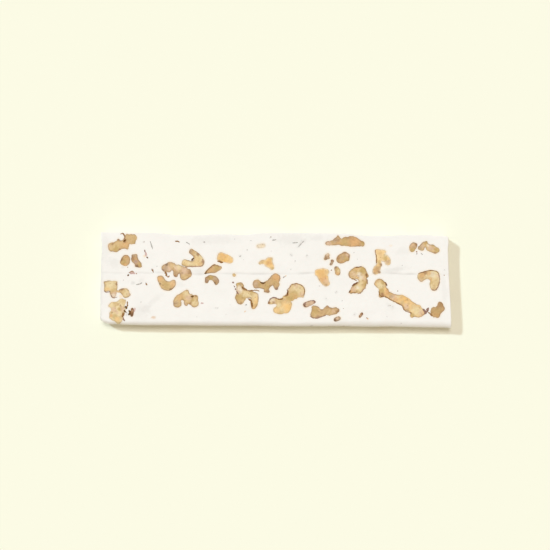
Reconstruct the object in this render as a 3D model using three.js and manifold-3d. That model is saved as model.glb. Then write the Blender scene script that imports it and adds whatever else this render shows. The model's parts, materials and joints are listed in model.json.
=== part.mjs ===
// A slice cut from a slab of soft white nougat, with walnut pieces cut flush on every face.
// Millimetres, +Z up, lying flat; the origin is under the middle of the slice, on its lower face.

import * as THREE from 'three';
import { mergeVertices } from 'three/addons/utils/BufferGeometryUtils.js';
import Module from 'manifold-3d';

const wasm = await Module();
wasm.setup();

// Driving dimensions of the slice
const LENGTH = 154;
const WIDTH = 41;
const THICKNESS = 10;
const EDGE_RADIUS = 1.1;
const SLAB_STEPS = { along: 24, across: 6, up: 1 };

// The waves left in the soft nougat: their height, and their lengths along and across the slice
const TOP_WAVE = 0.1;
const TOP_WAVE_ALONG = 9;
const TOP_WAVE_ACROSS = 6;
const TOP_SWELL_ALONG = 23;
const SIDE_WAVE = 0.15;
const SIDE_WAVE_ALONG = 5;

// The two ends and the two long sides, as [place along the side, where the side lies there]
const LEFT_END = [[-20.5, -76.9], [-14, -77.0], [-9.5, -77.4], [-3, -76.8], [6, -76.8], [11, -76.4],
  [18, -77.2]];
const RIGHT_END = [[-20.5, 77.2], [-15, 77.0], [-8, 76.6], [0, 76.0], [9, 75.5], [16, 75.3],
  [20.5, 75.1]];
const NEAR_SIDE = [[-77, -18.1], [-75.2, -19.8], [-73, -20.5], [-66, -20.9], [0, -20.7], [40, -20.4],
  [77, -20.5]];
const FAR_SIDE = [[-77, 20.2], [-54, 20.1], [-44, 19.2], [-34, 19.2], [-22, 19.9], [-15, 19.4],
  [-4, 20.6], [30, 20.7], [40, 19.7], [50, 19.8], [60, 20.3], [73, 20.2], [77, 18.6]];

// The fine seam where the slab was pressed together from two layers
const SEAM_TOP = [[-78, 2.3], [-50, 2.3], [-35, 2.0], [-16, 2.4], [10, 2.8], [40, 3.0], [78, 3.1]];
const SEAM_UNDER = [[-78, 1.8], [-60, 1.0], [-44, -1.6], [-25, 0.5], [0, 3.6], [35, 2.6], [78, 3.6]];
const SEAM_WIDTH = 0.5;
const SEAM_DEPTH = 0.4;
const SEAM_STEPS = 18;

// Walnut pieces: the gap to the nougat, and how the cut outline is worked out from the lobes
const GAP = 0.3;
const LOBE_BLEND = 0.6;
const NECK = 0.85;
const TRACE_STEP = 0.3;
const TRACE_MARGIN = 4;
const TRACE_TOLERANCE = 0.165;
const SHARPEST_MITER = 0.7;
const DEPTH = 5.5;
const SHALLOW = 3.2;
const OVERSHOOT = 1.5;
const HIDDEN_TAPER = 0.75;
const UNDER_CLEARANCE = 0.05;

const FINISHES = {
  nougat: { color: '#faf5ec', roughness: 0.62 },
  walnut_tan: { color: '#d2ae7c', roughness: 0.55 },
  walnut_pale: { color: '#e3c898', roughness: 0.55 },
  walnut_honey: { color: '#eec384', roughness: 0.45 },
  walnut_brown: { color: '#ba9468', roughness: 0.6 },
};

// Pieces on the upper face. Each lobe of the kernel is [x, y, radius], and it is joined by a neck
// to the nearest lobe before it. A piece with "through" runs down to the lower face, where its
// section is shifted by [x, y], scaled, and turned by so many degrees.
const UPPER_PIECES = [
  { name: 'walnut_saddle', finish: 'walnut_tan', through: [2.0, -1.2, 0.9, 9],
    lobes: [[-71.9, 13.4, 2.0], [-70.0, 13.5, 2.1], [-68.8, 14.4, 2.3], [-66.2, 14.8, 2.1],
      [-64.5, 16.8, 2.4], [-63.5, 16.9, 2.4]] },
  { name: 'walnut_egg', finish: 'walnut_tan', lobes: [[-65.9, 8.1, 2.0], [-66.1, 7.2, 2.1]] },
  { name: 'walnut_peg', finish: 'walnut_brown',
    lobes: [[-62.0, 9.2, 1.2], [-62.1, 8.2, 1.5], [-60.9, 6.8, 1.2], [-60.1, 5.8, 1.25]] },
  { name: 'walnut_block', finish: 'walnut_pale',
    lobes: [[-73.2, -3.4, 2.0], [-71.4, -3.4, 2.0], [-74.0, -2.6, 1.3], [-70.7, -2.7, 1.3],
      [-74.2, -5.2, 1.1], [-71.2, -5.3, 1.7], [-71.1, -7.6, 1.3]] },
  { name: 'walnut_diamond', finish: 'walnut_tan',
    lobes: [[-67.4, -5.7, 1.1], [-66.0, -6.4, 1.8], [-65.3, -7.2, 1.5]] },
  { name: 'walnut_cluster', finish: 'walnut_pale', through: [-0.8, 1.4, 0.85, -12],
    lobes: [[-67.2, -10.6, 1.6], [-69.0, -13.0, 2.6], [-71.3, -12.2, 1.6], [-67.3, -14.0, 1.6],
      [-71.0, -16.5, 2.0], [-69.0, -17.0, 2.4], [-67.2, -16.5, 1.5], [-69.0, -19.4, 1.1]] },
  { name: 'walnut_bead', finish: 'walnut_brown',
    lobes: [[-62.7, -14.2, 0.8], [-62.9, -15.5, 0.75], [-63.0, -16.5, 0.6]] },
  { name: 'walnut_twin', finish: 'walnut_tan', through: [-1.6, 0.8, 0.85, 10],
    lobes: [[-48.4, 4.5, 1.7], [-47.2, 4.6, 2.0], [-46.2, 5.3, 1.9], [-42.8, 4.2, 1.8], [-44.0, 1.9, 1.1],
      [-41.0, 3.5, 1.7], [-38.9, 3.5, 1.3], [-39.4, 2.5, 2.2], [-38.4, 2.0, 1.6], [-40.2, 0.9, 1.8]] },
  { name: 'walnut_crescent', finish: 'walnut_tan',
    lobes: [[-50.4, -0.4, 1.5], [-49.9, -1.5, 1.6], [-48.6, -3.2, 2.0], [-46.9, -3.4, 2.0],
      [-45.3, -2.6, 1.5], [-44.9, -1.7, 1.0]] },
  { name: 'walnut_hook_left', finish: 'walnut_pale',
    lobes: [[-37.0, 11.6, 1.2], [-35.4, 10.6, 1.2], [-34.2, 9.2, 1.5], [-33.2, 7.6, 1.7],
      [-33.0, 6.7, 1.5], [-35.5, 6.5, 1.2], [-37.5, 6.4, 1.1], [-39.2, 6.6, 1.5], [-39.9, 6.9, 1.5]] },
  { name: 'walnut_leaf', finish: 'walnut_brown',
    lobes: [[-30.6, 2.6, 0.6], [-28.8, 3.6, 1.2], [-27.0, 4.4, 1.8], [-25.6, 4.8, 1.1],
      [-24.6, 4.7, 0.6]] },
  { name: 'walnut_arch', finish: 'walnut_brown',
    lobes: [[-30.4, -1.3, 0.75], [-30.2, 0.0, 0.9], [-28.9, 0.6, 0.95], [-27.2, 0.2, 1.1],
      [-26.2, -0.8, 1.2], [-26.1, -1.6, 1.0]] },
  { name: 'walnut_slipper', finish: 'walnut_honey',
    lobes: [[-24.0, 9.9, 1.7], [-24.3, 8.9, 1.7], [-22.5, 9.2, 1.8], [-20.6, 8.4, 1.7]] },
  { name: 'walnut_wishbone', finish: 'walnut_tan',
    lobes: [[-43.0, -11.0, 1.9], [-43.3, -9.8, 1.6], [-42.3, -8.6, 1.6], [-40.6, -7.6, 1.6],
      [-39.1, -6.2, 1.2], [-38.5, -8.5, 1.9], [-39.3, -11.0, 0.9], [-36.3, -9.6, 2.2], [-35.4, -8.4, 1.3],
      [-35.4, -11.0, 1.8]] },
  { name: 'walnut_dot', finish: 'walnut_honey', lobes: [[-18.4, 1.7, 0.9]] },
  { name: 'walnut_two_legged', finish: 'walnut_pale', through: [1.2, 1.6, 0.85, -8],
    lobes: [[-16.2, -2.5, 1.0], [-15.6, -4.0, 1.6], [-15.6, -5.6, 1.5], [-15.7, -8.3, 2.2],
      [-15.5, -9.6, 1.6], [-13.0, -6.6, 1.7], [-11.0, -6.6, 1.5], [-9.4, -7.2, 1.5], [-9.2, -8.8, 1.7],
      [-9.4, -10.6, 1.6], [-9.7, -12.2, 1.0]] },
  { name: 'walnut_strider', finish: 'walnut_tan',
    lobes: [[-8.2, -2.2, 2.0], [-5.8, -2.7, 1.3], [-4.2, -2.6, 1.5], [-2.6, -1.2, 1.7], [-0.3, 0.6, 2.1],
      [-4.1, -4.8, 1.0], [0.2, -2.4, 1.3], [0.3, -3.6, 0.9]] },
  { name: 'walnut_great', finish: 'walnut_honey', through: [1.4, 0.6, 0.95, 12],
    lobes: [[8.2, -4.4, 2.7], [10.2, -4.6, 2.5], [11.2, -6.3, 1.5], [5.8, -7.5, 1.8], [3.6, -9.6, 1.8],
      [4.9, -11.4, 2.2], [3.2, -11.8, 2.8], [2.4, -13.0, 2.2], [0.4, -13.4, 1.6], [1.5, -10.0, 1.4],
      [-0.2, -9.4, 1.2], [-1.6, -9.6, 1.1], [-2.6, -10.1, 0.9]] },
  { name: 'walnut_fleck', finish: 'walnut_honey',
    lobes: [[-7.9, 14.5, 0.75], [-6.8, 14.6, 0.85], [-5.6, 14.7, 0.75]] },
  { name: 'walnut_ladle', finish: 'walnut_honey',
    lobes: [[-3.2, 8.3, 1.4], [-2.8, 6.9, 1.5], [-3.8, 6.6, 1.3], [-1.9, 5.2, 1.0], [-5.3, 7.7, 0.8],
      [-6.6, 7.4, 0.8]] },
  { name: 'walnut_shield', finish: 'walnut_honey',
    lobes: [[18.3, 3.5, 1.3], [20.0, 3.2, 1.7], [21.9, 3.5, 1.3], [20.2, 1.2, 1.9], [21.4, -0.6, 1.9],
      [22.0, -1.6, 1.3]] },
  { name: 'walnut_crumb', finish: 'walnut_brown', lobes: [[21.9, 9.9, 1.1], [22.7, 11.1, 0.8]] },
  { name: 'walnut_chip', finish: 'walnut_brown', lobes: [[24.6, 8.2, 0.8], [23.9, 6.9, 0.6]] },
  { name: 'walnut_oval', finish: 'walnut_tan', lobes: [[28.3, 9.2, 2.1], [30.0, 10.2, 2.2]] },
  { name: 'walnut_bud', finish: 'walnut_honey',
    lobes: [[26.3, 5.3, 0.9], [26.9, 4.2, 1.2], [27.0, 3.2, 1.2]] },
  { name: 'walnut_long_far', finish: 'walnut_tan', through: [-1.5, -0.6, 0.9, 4],
    lobes: [[22.0, 16.1, 0.8], [23.6, 16.1, 1.0], [25.8, 16.8, 1.6], [26.8, 18.0, 1.1], [28.5, 16.7, 1.8],
      [31.0, 17.0, 2.2], [33.3, 17.0, 2.3], [35.2, 16.6, 1.8], [37.2, 16.1, 1.1]] },
  { name: 'walnut_seahorse', finish: 'walnut_pale', through: [-1.0, 1.2, 0.85, -10],
    lobes: [[33.3, 2.7, 1.7], [35.2, 4.0, 1.9], [37.4, 4.1, 1.9], [38.5, 2.8, 1.6], [37.8, 0.8, 1.8],
      [38.2, -0.8, 1.7], [37.6, -2.2, 1.8], [36.4, -3.5, 2.2], [34.6, -3.8, 1.6], [32.8, -5.1, 0.8]] },
  { name: 'walnut_fork', finish: 'walnut_honey',
    lobes: [[44.6, 12.2, 1.3], [46.3, 12.3, 1.1], [45.3, 10.6, 1.6], [47.2, 10.3, 1.3], [48.4, 9.4, 1.4],
      [48.9, 7.9, 1.3], [44.8, 8.4, 1.0], [45.2, 7.0, 1.1], [43.9, 4.6, 1.8], [43.4, 3.8, 1.3]] },
  { name: 'walnut_branch', finish: 'walnut_honey', through: [0.6, 1.8, 0.92, 5],
    lobes: [[45.2, -1.3, 2.1], [46.5, -1.9, 1.8], [46.8, -4.2, 1.7], [46.2, -6.1, 1.2], [48.0, -5.7, 1.4],
      [49.8, -6.4, 1.4], [52.0, -7.6, 1.7], [54.5, -8.2, 2.1], [57.0, -9.4, 2.2], [59.3, -11.4, 2.3],
      [61.5, -13.0, 2.5], [63.2, -13.8, 2.0], [59.6, -15.4, 0.8]] },
  { name: 'walnut_caramel', finish: 'walnut_brown',
    lobes: [[72.0, -10.5, 1.4], [72.4, -12.0, 1.6], [70.5, -13.2, 2.0], [69.4, -12.7, 1.3],
      [70.8, -15.0, 1.2], [68.9, -14.4, 1.0]] },
  { name: 'walnut_round', finish: 'walnut_tan', lobes: [[59.6, 14.6, 1.5], [60.2, 15.4, 1.5]] },
  { name: 'walnut_bridge', finish: 'walnut_tan',
    lobes: [[63.2, 14.5, 1.0], [63.9, 15.1, 1.1], [65.0, 16.3, 1.0], [67.4, 14.3, 1.4], [68.8, 13.9, 1.5],
      [70.3, 13.6, 1.2]] },
  { name: 'walnut_hook_right', finish: 'walnut_pale', through: [-1.2, 1.0, 0.9, -14],
    lobes: [[63.6, 1.9, 1.9], [65.6, 2.6, 1.7], [67.8, 3.2, 1.6], [69.5, 2.8, 1.9], [69.8, 0.8, 1.9],
      [69.3, -1.2, 2.0], [69.2, -2.6, 1.7]] },
  { name: 'walnut_comma', finish: 'walnut_brown',
    lobes: [[13.1, -11.0, 1.2], [14.3, -10.5, 1.0], [15.6, -10.0, 1.0], [16.6, -9.7, 0.8]] },
  { name: 'walnut_boot', finish: 'walnut_tan',
    lobes: [[17.2, -12.6, 1.4], [17.0, -15.0, 1.6], [18.5, -15.4, 1.5], [20.0, -14.6, 1.4],
      [22.5, -13.4, 1.9], [24.5, -13.8, 1.7], [26.4, -13.5, 1.4]] },
  { name: 'walnut_ring', finish: 'walnut_brown', lobes: [[26.2, -17.4, 0.9], [27.5, -16.8, 1.0]] },
  { name: 'walnut_sliver', finish: 'walnut_brown',
    lobes: [[37.7, -14.5, 0.45], [37.2, -15.5, 0.5], [36.8, -16.1, 0.4]] },
];

// Pieces on the lower face: [name, the piece above whose cut it resembles, x, y, turn in degrees]
const UNDER_PIECES = [
  ['walnut_under_hook', 'walnut_hook_left', -55, -11, 200],
  ['walnut_under_oval', 'walnut_oval', -53, 11, 60],
  ['walnut_under_arch', 'walnut_arch', -28, 13, 150],
  ['walnut_under_boot', 'walnut_boot', -30, -13, 25],
  ['walnut_under_fork', 'walnut_fork', -7, 10, 100],
  ['walnut_under_slipper', 'walnut_slipper', 14, 13, 250],
  ['walnut_under_crescent', 'walnut_crescent', 22, -12, 120],
  ['walnut_under_shield', 'walnut_shield', 40, -14, 200],
  ['walnut_under_wishbone', 'walnut_wishbone', 53, 9, 70],
  ['walnut_under_egg', 'walnut_egg', 70, 11, 20],
];

// Pieces that show on the sides only: [name, side, whose cut, place along the side, height, turn]
const SIDE_PIECES = [
  ['walnut_near_left', 'near', 'walnut_slipper', -44, 4.9, 170],
  ['walnut_near_middle', 'near', 'walnut_diamond', -8, 4.6, 20],
  ['walnut_near_right', 'near', 'walnut_shield', 48, 5.0, 95],
  ['walnut_far_left', 'far', 'walnut_leaf', -44, 4.6, 15],
  ['walnut_far_middle', 'far', 'walnut_oval', 6, 4.8, 155],
  ['walnut_far_right', 'far', 'walnut_slipper', 60, 4.7, 10],
  ['walnut_end_left', 'left', 'walnut_peg', 4.5, 4.8, 75],
  ['walnut_end_right', 'right', 'walnut_diamond', -6, 4.9, 160],
];
const SIDE_SCALE = 0.95;

// Where a smooth line through [place, value] knots lies at a place
function along(knots, place) {
  let i = 1;
  while (i < knots.length - 1 && knots[i][0] < place) {
    i += 1;
  }
  const [start, end] = [knots[i - 1], knots[i]];
  const t = THREE.MathUtils.clamp((place - start[0]) / (end[0] - start[0]), 0, 1);
  return THREE.MathUtils.lerp(start[1], end[1], t * t * (3 - 2 * t));
}

// The slight rise and fall that the knife leaves in the soft upper face
function topRelief(x, y) {
  const ripple = Math.sin(x / TOP_WAVE_ALONG + y / TOP_WAVE_ACROSS) * Math.sin(x / TOP_SWELL_ALONG);
  const swell = Math.sin(y / TOP_WAVE_ACROSS - x / TOP_SWELL_ALONG) / 2;
  return TOP_WAVE * (ripple + swell);
}

// How far a side swells at a place along it, most at half its height
function sideRelief(s, z) {
  return SIDE_WAVE * Math.sin(s / SIDE_WAVE_ALONG) * Math.sin(z * Math.PI / THICKNESS);
}

// Even steps between two rounded edges, with a narrow first and last step of the edge's radius
function stops(length, count) {
  const half = length / 2;
  const places = [-half];
  for (let i = 0; i <= count; i += 1) {
    places.push(THREE.MathUtils.lerp(EDGE_RADIUS - half, half - EDGE_RADIUS, i / count));
  }
  places.push(half);
  return places;
}

function toSolid(geometry) {
  geometry.deleteAttribute('normal');
  geometry.deleteAttribute('uv');
  const merged = mergeVertices(geometry, 1e-4);
  return new wasm.Manifold(new wasm.Mesh({
    numProp: 3,
    vertProperties: new Float32Array(merged.attributes.position.array),
    triVerts: new Uint32Array(merged.index.array),
  }));
}

function toGeometry(solid) {
  const mesh = solid.getMesh();
  const geometry = new THREE.BufferGeometry();
  geometry.setAttribute('position', new THREE.BufferAttribute(new Float32Array(mesh.vertProperties), 3));
  geometry.setIndex(new THREE.BufferAttribute(new Uint32Array(mesh.triVerts), 1));
  geometry.computeVertexNormals();
  return geometry;
}

// The whole slice as one block: a box with rounded edges, bent to the four sides of the slice
function slabSolid(lowest = 0) {
  const xs = stops(LENGTH, SLAB_STEPS.along);
  const ys = stops(WIDTH, SLAB_STEPS.across);
  const zs = stops(THICKNESS, SLAB_STEPS.up);
  const box = new THREE.BoxGeometry(1, 1, 1, xs.length - 1, ys.length - 1, zs.length - 1);
  const position = box.attributes.position;
  const point = new THREE.Vector3();
  const inner = new THREE.Vector3();
  const reach = new THREE.Vector3(LENGTH, WIDTH, THICKNESS).multiplyScalar(0.5).subScalar(EDGE_RADIUS);
  for (let i = 0; i < position.count; i += 1) {
    point.set(
      xs[Math.round((position.getX(i) + 0.5) * (xs.length - 1))],
      ys[Math.round((position.getY(i) + 0.5) * (ys.length - 1))],
      zs[Math.round((position.getZ(i) + 0.5) * (zs.length - 1))],
    );
    inner.copy(point).clamp(reach.clone().negate(), reach);
    point.sub(inner).setLength(EDGE_RADIUS).add(inner);
    const across = point.y / WIDTH + 0.5;
    const over = point.x / LENGTH + 0.5;
    const height = point.z + THICKNESS / 2;
    const x = THREE.MathUtils.lerp(along(LEFT_END, point.y), along(RIGHT_END, point.y), over);
    const y = THREE.MathUtils.lerp(along(NEAR_SIDE, point.x), along(FAR_SIDE, point.x), across);
    const topShare = THREE.MathUtils.clamp((height - THICKNESS / 2) / (THICKNESS / 2), 0, 1);
    position.setXYZ(
      i,
      x + (over * 2 - 1) * sideRelief(y, height),
      y + (across * 2 - 1) * sideRelief(x, height),
      Math.max(height, lowest) + topShare * topRelief(x, y),
    );
  }
  return toSolid(box);
}

// A ring-shaped wedge round the slice that cuts the seam into its upper and lower face and both ends
function seamWedge() {
  const left = along(LEFT_END, SEAM_TOP[0][1]);
  const right = along(RIGHT_END, SEAM_TOP[SEAM_TOP.length - 1][1]);
  const upper = [];
  const lower = [];
  for (let i = 0; i <= SEAM_STEPS; i += 1) {
    const x = THREE.MathUtils.lerp(left, right, i / SEAM_STEPS);
    const outX = Number(i === SEAM_STEPS) - Number(i === 0);
    const y = along(SEAM_TOP, x);
    upper.push({ x, y, z: THICKNESS + topRelief(x, y), outX, outZ: 1 });
    lower.unshift({ x, y: along(SEAM_UNDER, x), z: 0, outX, outZ: -1 });
  }
  const route = [...upper, ...lower];
  const vertices = [];
  for (const { x, y, z, outX, outZ } of route) {
    vertices.push(x - outX * SEAM_DEPTH, y, z - outZ * SEAM_DEPTH);
    vertices.push(x + outX * SEAM_DEPTH, y + SEAM_WIDTH, z + outZ * SEAM_DEPTH);
    vertices.push(x + outX * SEAM_DEPTH, y - SEAM_WIDTH, z + outZ * SEAM_DEPTH);
  }
  const indices = [];
  for (let i = 0; i < route.length; i += 1) {
    const next = (i + 1) % route.length;
    for (let k = 0; k < 3; k += 1) {
      const a = i * 3 + k;
      const b = i * 3 + (k + 1) % 3;
      const c = next * 3 + k;
      const d = next * 3 + (k + 1) % 3;
      indices.push(a, b, c, b, d, c);
    }
  }
  const geometry = new THREE.BufferGeometry();
  geometry.setAttribute('position', new THREE.Float32BufferAttribute(vertices, 3));
  geometry.setIndex(indices);
  return toSolid(geometry);
}

// The nearer of two distances, with a smooth passage where they are alike
function blend(a, b) {
  const mix = THREE.MathUtils.clamp(0.5 + (a - b) / (2 * LOBE_BLEND), 0, 1);
  return THREE.MathUtils.lerp(a, b, mix) - LOBE_BLEND * mix * (1 - mix);
}

// How far a point lies outside the neck between two lobes
function distanceToNeck([fromX, fromY, fromRadius], [toX, toY, toRadius], x, y) {
  const stepX = toX - fromX;
  const stepY = toY - fromY;
  const share = ((x - fromX) * stepX + (y - fromY) * stepY) / (stepX * stepX + stepY * stepY);
  const t = THREE.MathUtils.clamp(share, 0, 1);
  const radius = NECK * THREE.MathUtils.lerp(fromRadius, toRadius, t);
  return Math.hypot(x - fromX - t * stepX, y - fromY - t * stepY) - radius;
}

// How far a point lies outside a piece made of lobes and necks; inside, it is negative
function distanceTo(lobes, x, y) {
  let nearest = Infinity;
  lobes.forEach((lobe, i) => {
    const distance = Math.hypot(x - lobe[0], y - lobe[1]) - lobe[2];
    nearest = i === 0 ? distance : blend(nearest, distance);
    if (i > 0) {
      const apart = (other) => Math.hypot(lobe[0] - other[0], lobe[1] - other[1]);
      const neighbour = lobes.slice(0, i).reduce((a, b) => (apart(b) < apart(a) ? b : a));
      nearest = blend(nearest, distanceToNeck(neighbour, lobe, x, y));
    }
  });
  return nearest;
}

// The cut outline of a piece, traced round the line where its distance equals the offset
function traceOutline(lobes, offset) {
  const minX = Math.min(...lobes.map(([x]) => x)) - TRACE_MARGIN;
  const minY = Math.min(...lobes.map(([, y]) => y)) - TRACE_MARGIN;
  const countX = Math.ceil((Math.max(...lobes.map(([x]) => x)) + TRACE_MARGIN - minX) / TRACE_STEP);
  const countY = Math.ceil((Math.max(...lobes.map(([, y]) => y)) + TRACE_MARGIN - minY) / TRACE_STEP);
  const value = [];
  for (let i = 0; i <= countX; i += 1) {
    value.push([]);
    for (let j = 0; j <= countY; j += 1) {
      value[i].push(distanceTo(lobes, minX + i * TRACE_STEP, minY + j * TRACE_STEP) - offset);
    }
  }
  const follow = new Map();
  const places = new Map();
  const crossing = (i, j, di, dj) => {
    const key = di ? `x${i},${j}` : `y${i},${j}`;
    const t = value[i][j] / (value[i][j] - value[i + di][j + dj]);
    places.set(key, new THREE.Vector2(minX + (i + t * di) * TRACE_STEP, minY + (j + t * dj) * TRACE_STEP));
    return key;
  };
  for (let i = 0; i < countX; i += 1) {
    for (let j = 0; j < countY; j += 1) {
      // The cell's four edges anticlockwise, each with the corner that starts it
      const corners = [value[i][j], value[i + 1][j], value[i + 1][j + 1], value[i][j + 1]];
      const edges = [[i, j, 1, 0], [i + 1, j, 0, 1], [i, j + 1, 1, 0], [i, j, 0, 1]];
      const entering = [];
      const leaving = [];
      for (let k = 0; k < 4; k += 1) {
        const startsInside = corners[k] < 0;
        if (startsInside !== corners[(k + 1) % 4] < 0) {
          (startsInside ? leaving : entering).push(crossing(...edges[k]));
        }
      }
      leaving.forEach((key, k) => follow.set(key, entering[k]));
    }
  }
  const loops = [];
  while (follow.size > 0) {
    const loop = [];
    let key = follow.keys().next().value;
    while (follow.has(key)) {
      loop.push(places.get(key));
      const next = follow.get(key);
      follow.delete(key);
      key = next;
    }
    loops.push(loop);
  }
  const longest = loops.reduce((a, b) => (b.length > a.length ? b : a));
  const simple = thinOut(longest);
  return THREE.ShapeUtils.isClockWise(simple) ? simple.reverse() : simple;
}

// Keep only the points of a closed outline that its shape needs
function thinOut(points) {
  const keep = (first, last) => {
    const chord = new THREE.Line3(
      new THREE.Vector3(points[first].x, points[first].y, 0),
      new THREE.Vector3(points[last % points.length].x, points[last % points.length].y, 0),
    );
    let farthest = -1;
    let distance = TRACE_TOLERANCE;
    for (let i = first + 1; i < last; i += 1) {
      const point = new THREE.Vector3(points[i].x, points[i].y, 0);
      const away = chord.closestPointToPoint(point, true, new THREE.Vector3()).distanceTo(point);
      if (away > distance) {
        [farthest, distance] = [i, away];
      }
    }
    return farthest < 0 ? [points[first]] : [...keep(first, farthest), ...keep(farthest, last)];
  };
  const half = Math.floor(points.length / 2);
  return [...keep(0, half), ...keep(half, points.length)];
}

// The outline moved outwards by a distance, corner by corner
function grow(outline, distance) {
  return outline.map((point, i) => {
    const before = outline[(i + outline.length - 1) % outline.length];
    const after = outline[(i + 1) % outline.length];
    const into = point.clone().sub(before).normalize();
    const away = after.clone().sub(point).normalize();
    const normal = new THREE.Vector2(into.y + away.y, -into.x - away.x).normalize();
    const miter = Math.max(SHARPEST_MITER, normal.x * into.y - normal.y * into.x);
    return point.clone().addScaledVector(normal, distance / miter);
  });
}

function centreOf(outline) {
  return outline.reduce((sum, point) => sum.add(point), new THREE.Vector2()).divideScalar(outline.length);
}

// A piece down to a level below the cut: its outline is shifted, scaled and turned evenly with the
// depth, at which it has all of its shift and turn
function pieceGeometry(outline, lowest, { shift = [0, 0], scale = HIDDEN_TAPER, turn = 0, depth }) {
  const centre = centreOf(outline);
  const angle = THREE.MathUtils.degToRad(turn);
  const count = outline.length;
  const vertices = [];
  for (const level of [-OVERSHOOT, lowest]) {
    const share = level / depth;
    const cosine = THREE.MathUtils.lerp(1, scale * Math.cos(angle), share);
    const sine = THREE.MathUtils.lerp(0, scale * Math.sin(angle), share);
    for (const point of outline) {
      const [dx, dy] = [point.x - centre.x, point.y - centre.y];
      vertices.push(
        centre.x + share * shift[0] + cosine * dx - sine * dy,
        centre.y + share * shift[1] + sine * dx + cosine * dy,
        -level,
      );
    }
  }
  const indices = [];
  for (const [a, b, c] of THREE.ShapeUtils.triangulateShape(outline, [])) {
    indices.push(a, b, c, count + a, count + c, count + b);
  }
  for (let i = 0; i < count; i += 1) {
    const next = (i + 1) % count;
    indices.push(i, count + i, count + next, i, count + next, next);
  }
  const geometry = new THREE.BufferGeometry();
  geometry.setAttribute('position', new THREE.Float32BufferAttribute(vertices, 3));
  geometry.setIndex(indices);
  return geometry;
}

// The piece's solid and the pocket that holds it, both placed by one matrix
function pieceAndPocket(outline, lowest, place, options) {
  const piece = pieceGeometry(outline, lowest, options).applyMatrix4(place);
  const pocket = pieceGeometry(grow(outline, GAP), lowest + GAP, options).applyMatrix4(place);
  return [toSolid(piece), toSolid(pocket)];
}

const tracedOutlines = new Map();
for (const { name, lobes } of UPPER_PIECES) {
  tracedOutlines.set(name, traceOutline(lobes, -GAP / 2));
}

// Another piece's outline about its own centre, turned
function likeOutline(name, turn, scale = 1) {
  const outline = tracedOutlines.get(name);
  const centre = centreOf(outline);
  const angle = THREE.MathUtils.degToRad(turn);
  return outline.map((point) => point.clone().sub(centre).multiplyScalar(scale)
    .rotateAround(new THREE.Vector2(), angle));
}

function upperPiece({ name, through }) {
  const place = new THREE.Matrix4().makeTranslation(0, 0, THICKNESS);
  if (!through) {
    return pieceAndPocket(tracedOutlines.get(name), DEPTH, place, { depth: DEPTH });
  }
  const [shiftX, shiftY, scale, turn] = through;
  const options = { shift: [shiftX, shiftY], scale, turn, depth: THICKNESS };
  return pieceAndPocket(tracedOutlines.get(name), THICKNESS + OVERSHOOT, place, options);
}

function underPiece([, like, x, y, turn]) {
  const place = new THREE.Matrix4().makeRotationX(Math.PI).setPosition(x, y, 0);
  return pieceAndPocket(likeOutline(like, turn), SHALLOW, place, { depth: SHALLOW });
}

function sidePiece([, side, like, s, height, turn]) {
  const sides = {
    near: { x: s, y: along(NEAR_SIDE, s), spin: 0 },
    right: { x: along(RIGHT_END, s), y: s, spin: 90 },
    far: { x: s, y: along(FAR_SIDE, s), spin: 180 },
    left: { x: along(LEFT_END, s), y: s, spin: 270 },
  };
  const { x, y, spin } = sides[side];
  const place = new THREE.Matrix4().makeRotationZ(THREE.MathUtils.degToRad(spin));
  place.multiply(new THREE.Matrix4().makeRotationX(Math.PI / 2));
  place.setPosition(x, y, height);
  return pieceAndPocket(likeOutline(like, turn, SIDE_SCALE), SHALLOW, place, { depth: SHALLOW });
}

function finishOf(name) {
  return UPPER_PIECES.find((piece) => piece.name === name).finish;
}

const group = new THREE.Group();

function addMesh(name, solid, finish) {
  const { color, roughness } = FINISHES[finish];
  const material = new THREE.MeshStandardMaterial({ color, roughness, metalness: 0 });
  const mesh = new THREE.Mesh(toGeometry(solid), material);
  mesh.name = name;
  group.add(mesh);
}

const walnuts = [
  ...UPPER_PIECES.map((piece) => [piece.name, piece.finish, ...upperPiece(piece)]),
  ...UNDER_PIECES.map((piece) => [piece[0], finishOf(piece[1]), ...underPiece(piece)]),
  ...SIDE_PIECES.map((piece) => [piece[0], finishOf(piece[2]), ...sidePiece(piece)]),
];
let nougat = slabSolid().subtract(seamWedge());
const walnutReach = slabSolid(UNDER_CLEARANCE);
for (const [name, finish, piece, pocket] of walnuts) {
  nougat = nougat.subtract(pocket);
  addMesh(name, piece.intersect(walnutReach), finish);
}
addMesh('nougat', nougat, 'nougat');

// The origin goes under the middle of the slice's box
const box = new THREE.Box3().setFromObject(group);
const middle = box.getCenter(new THREE.Vector3());
group.position.set(-middle.x, -middle.y, -box.min.z);
group.updateMatrixWorld(true);

export default group;
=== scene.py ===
# %% [markdown]
# A slice of walnut nougat.
#
# The real thing is a flat piece sawn from a slab of soft white nougat. The knife went through
# the walnuts too, so every face shows their cut sections, flush with the white paste.
#
# The solids come from a packed model, the frame: one block of nougat with pockets, and one
# solid for each walnut piece. This lesson keeps their places and outlines and gives them a
# fine surface. Lengths are in millimetres while we work, and turn into Blender's metres when
# a mesh is made.

# %% Load the frame
import itertools
import json
import math

import bmesh
import bpy
import numpy as np
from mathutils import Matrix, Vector
from mathutils.bvhtree import BVHTree
from mathutils.kdtree import KDTree


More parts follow.
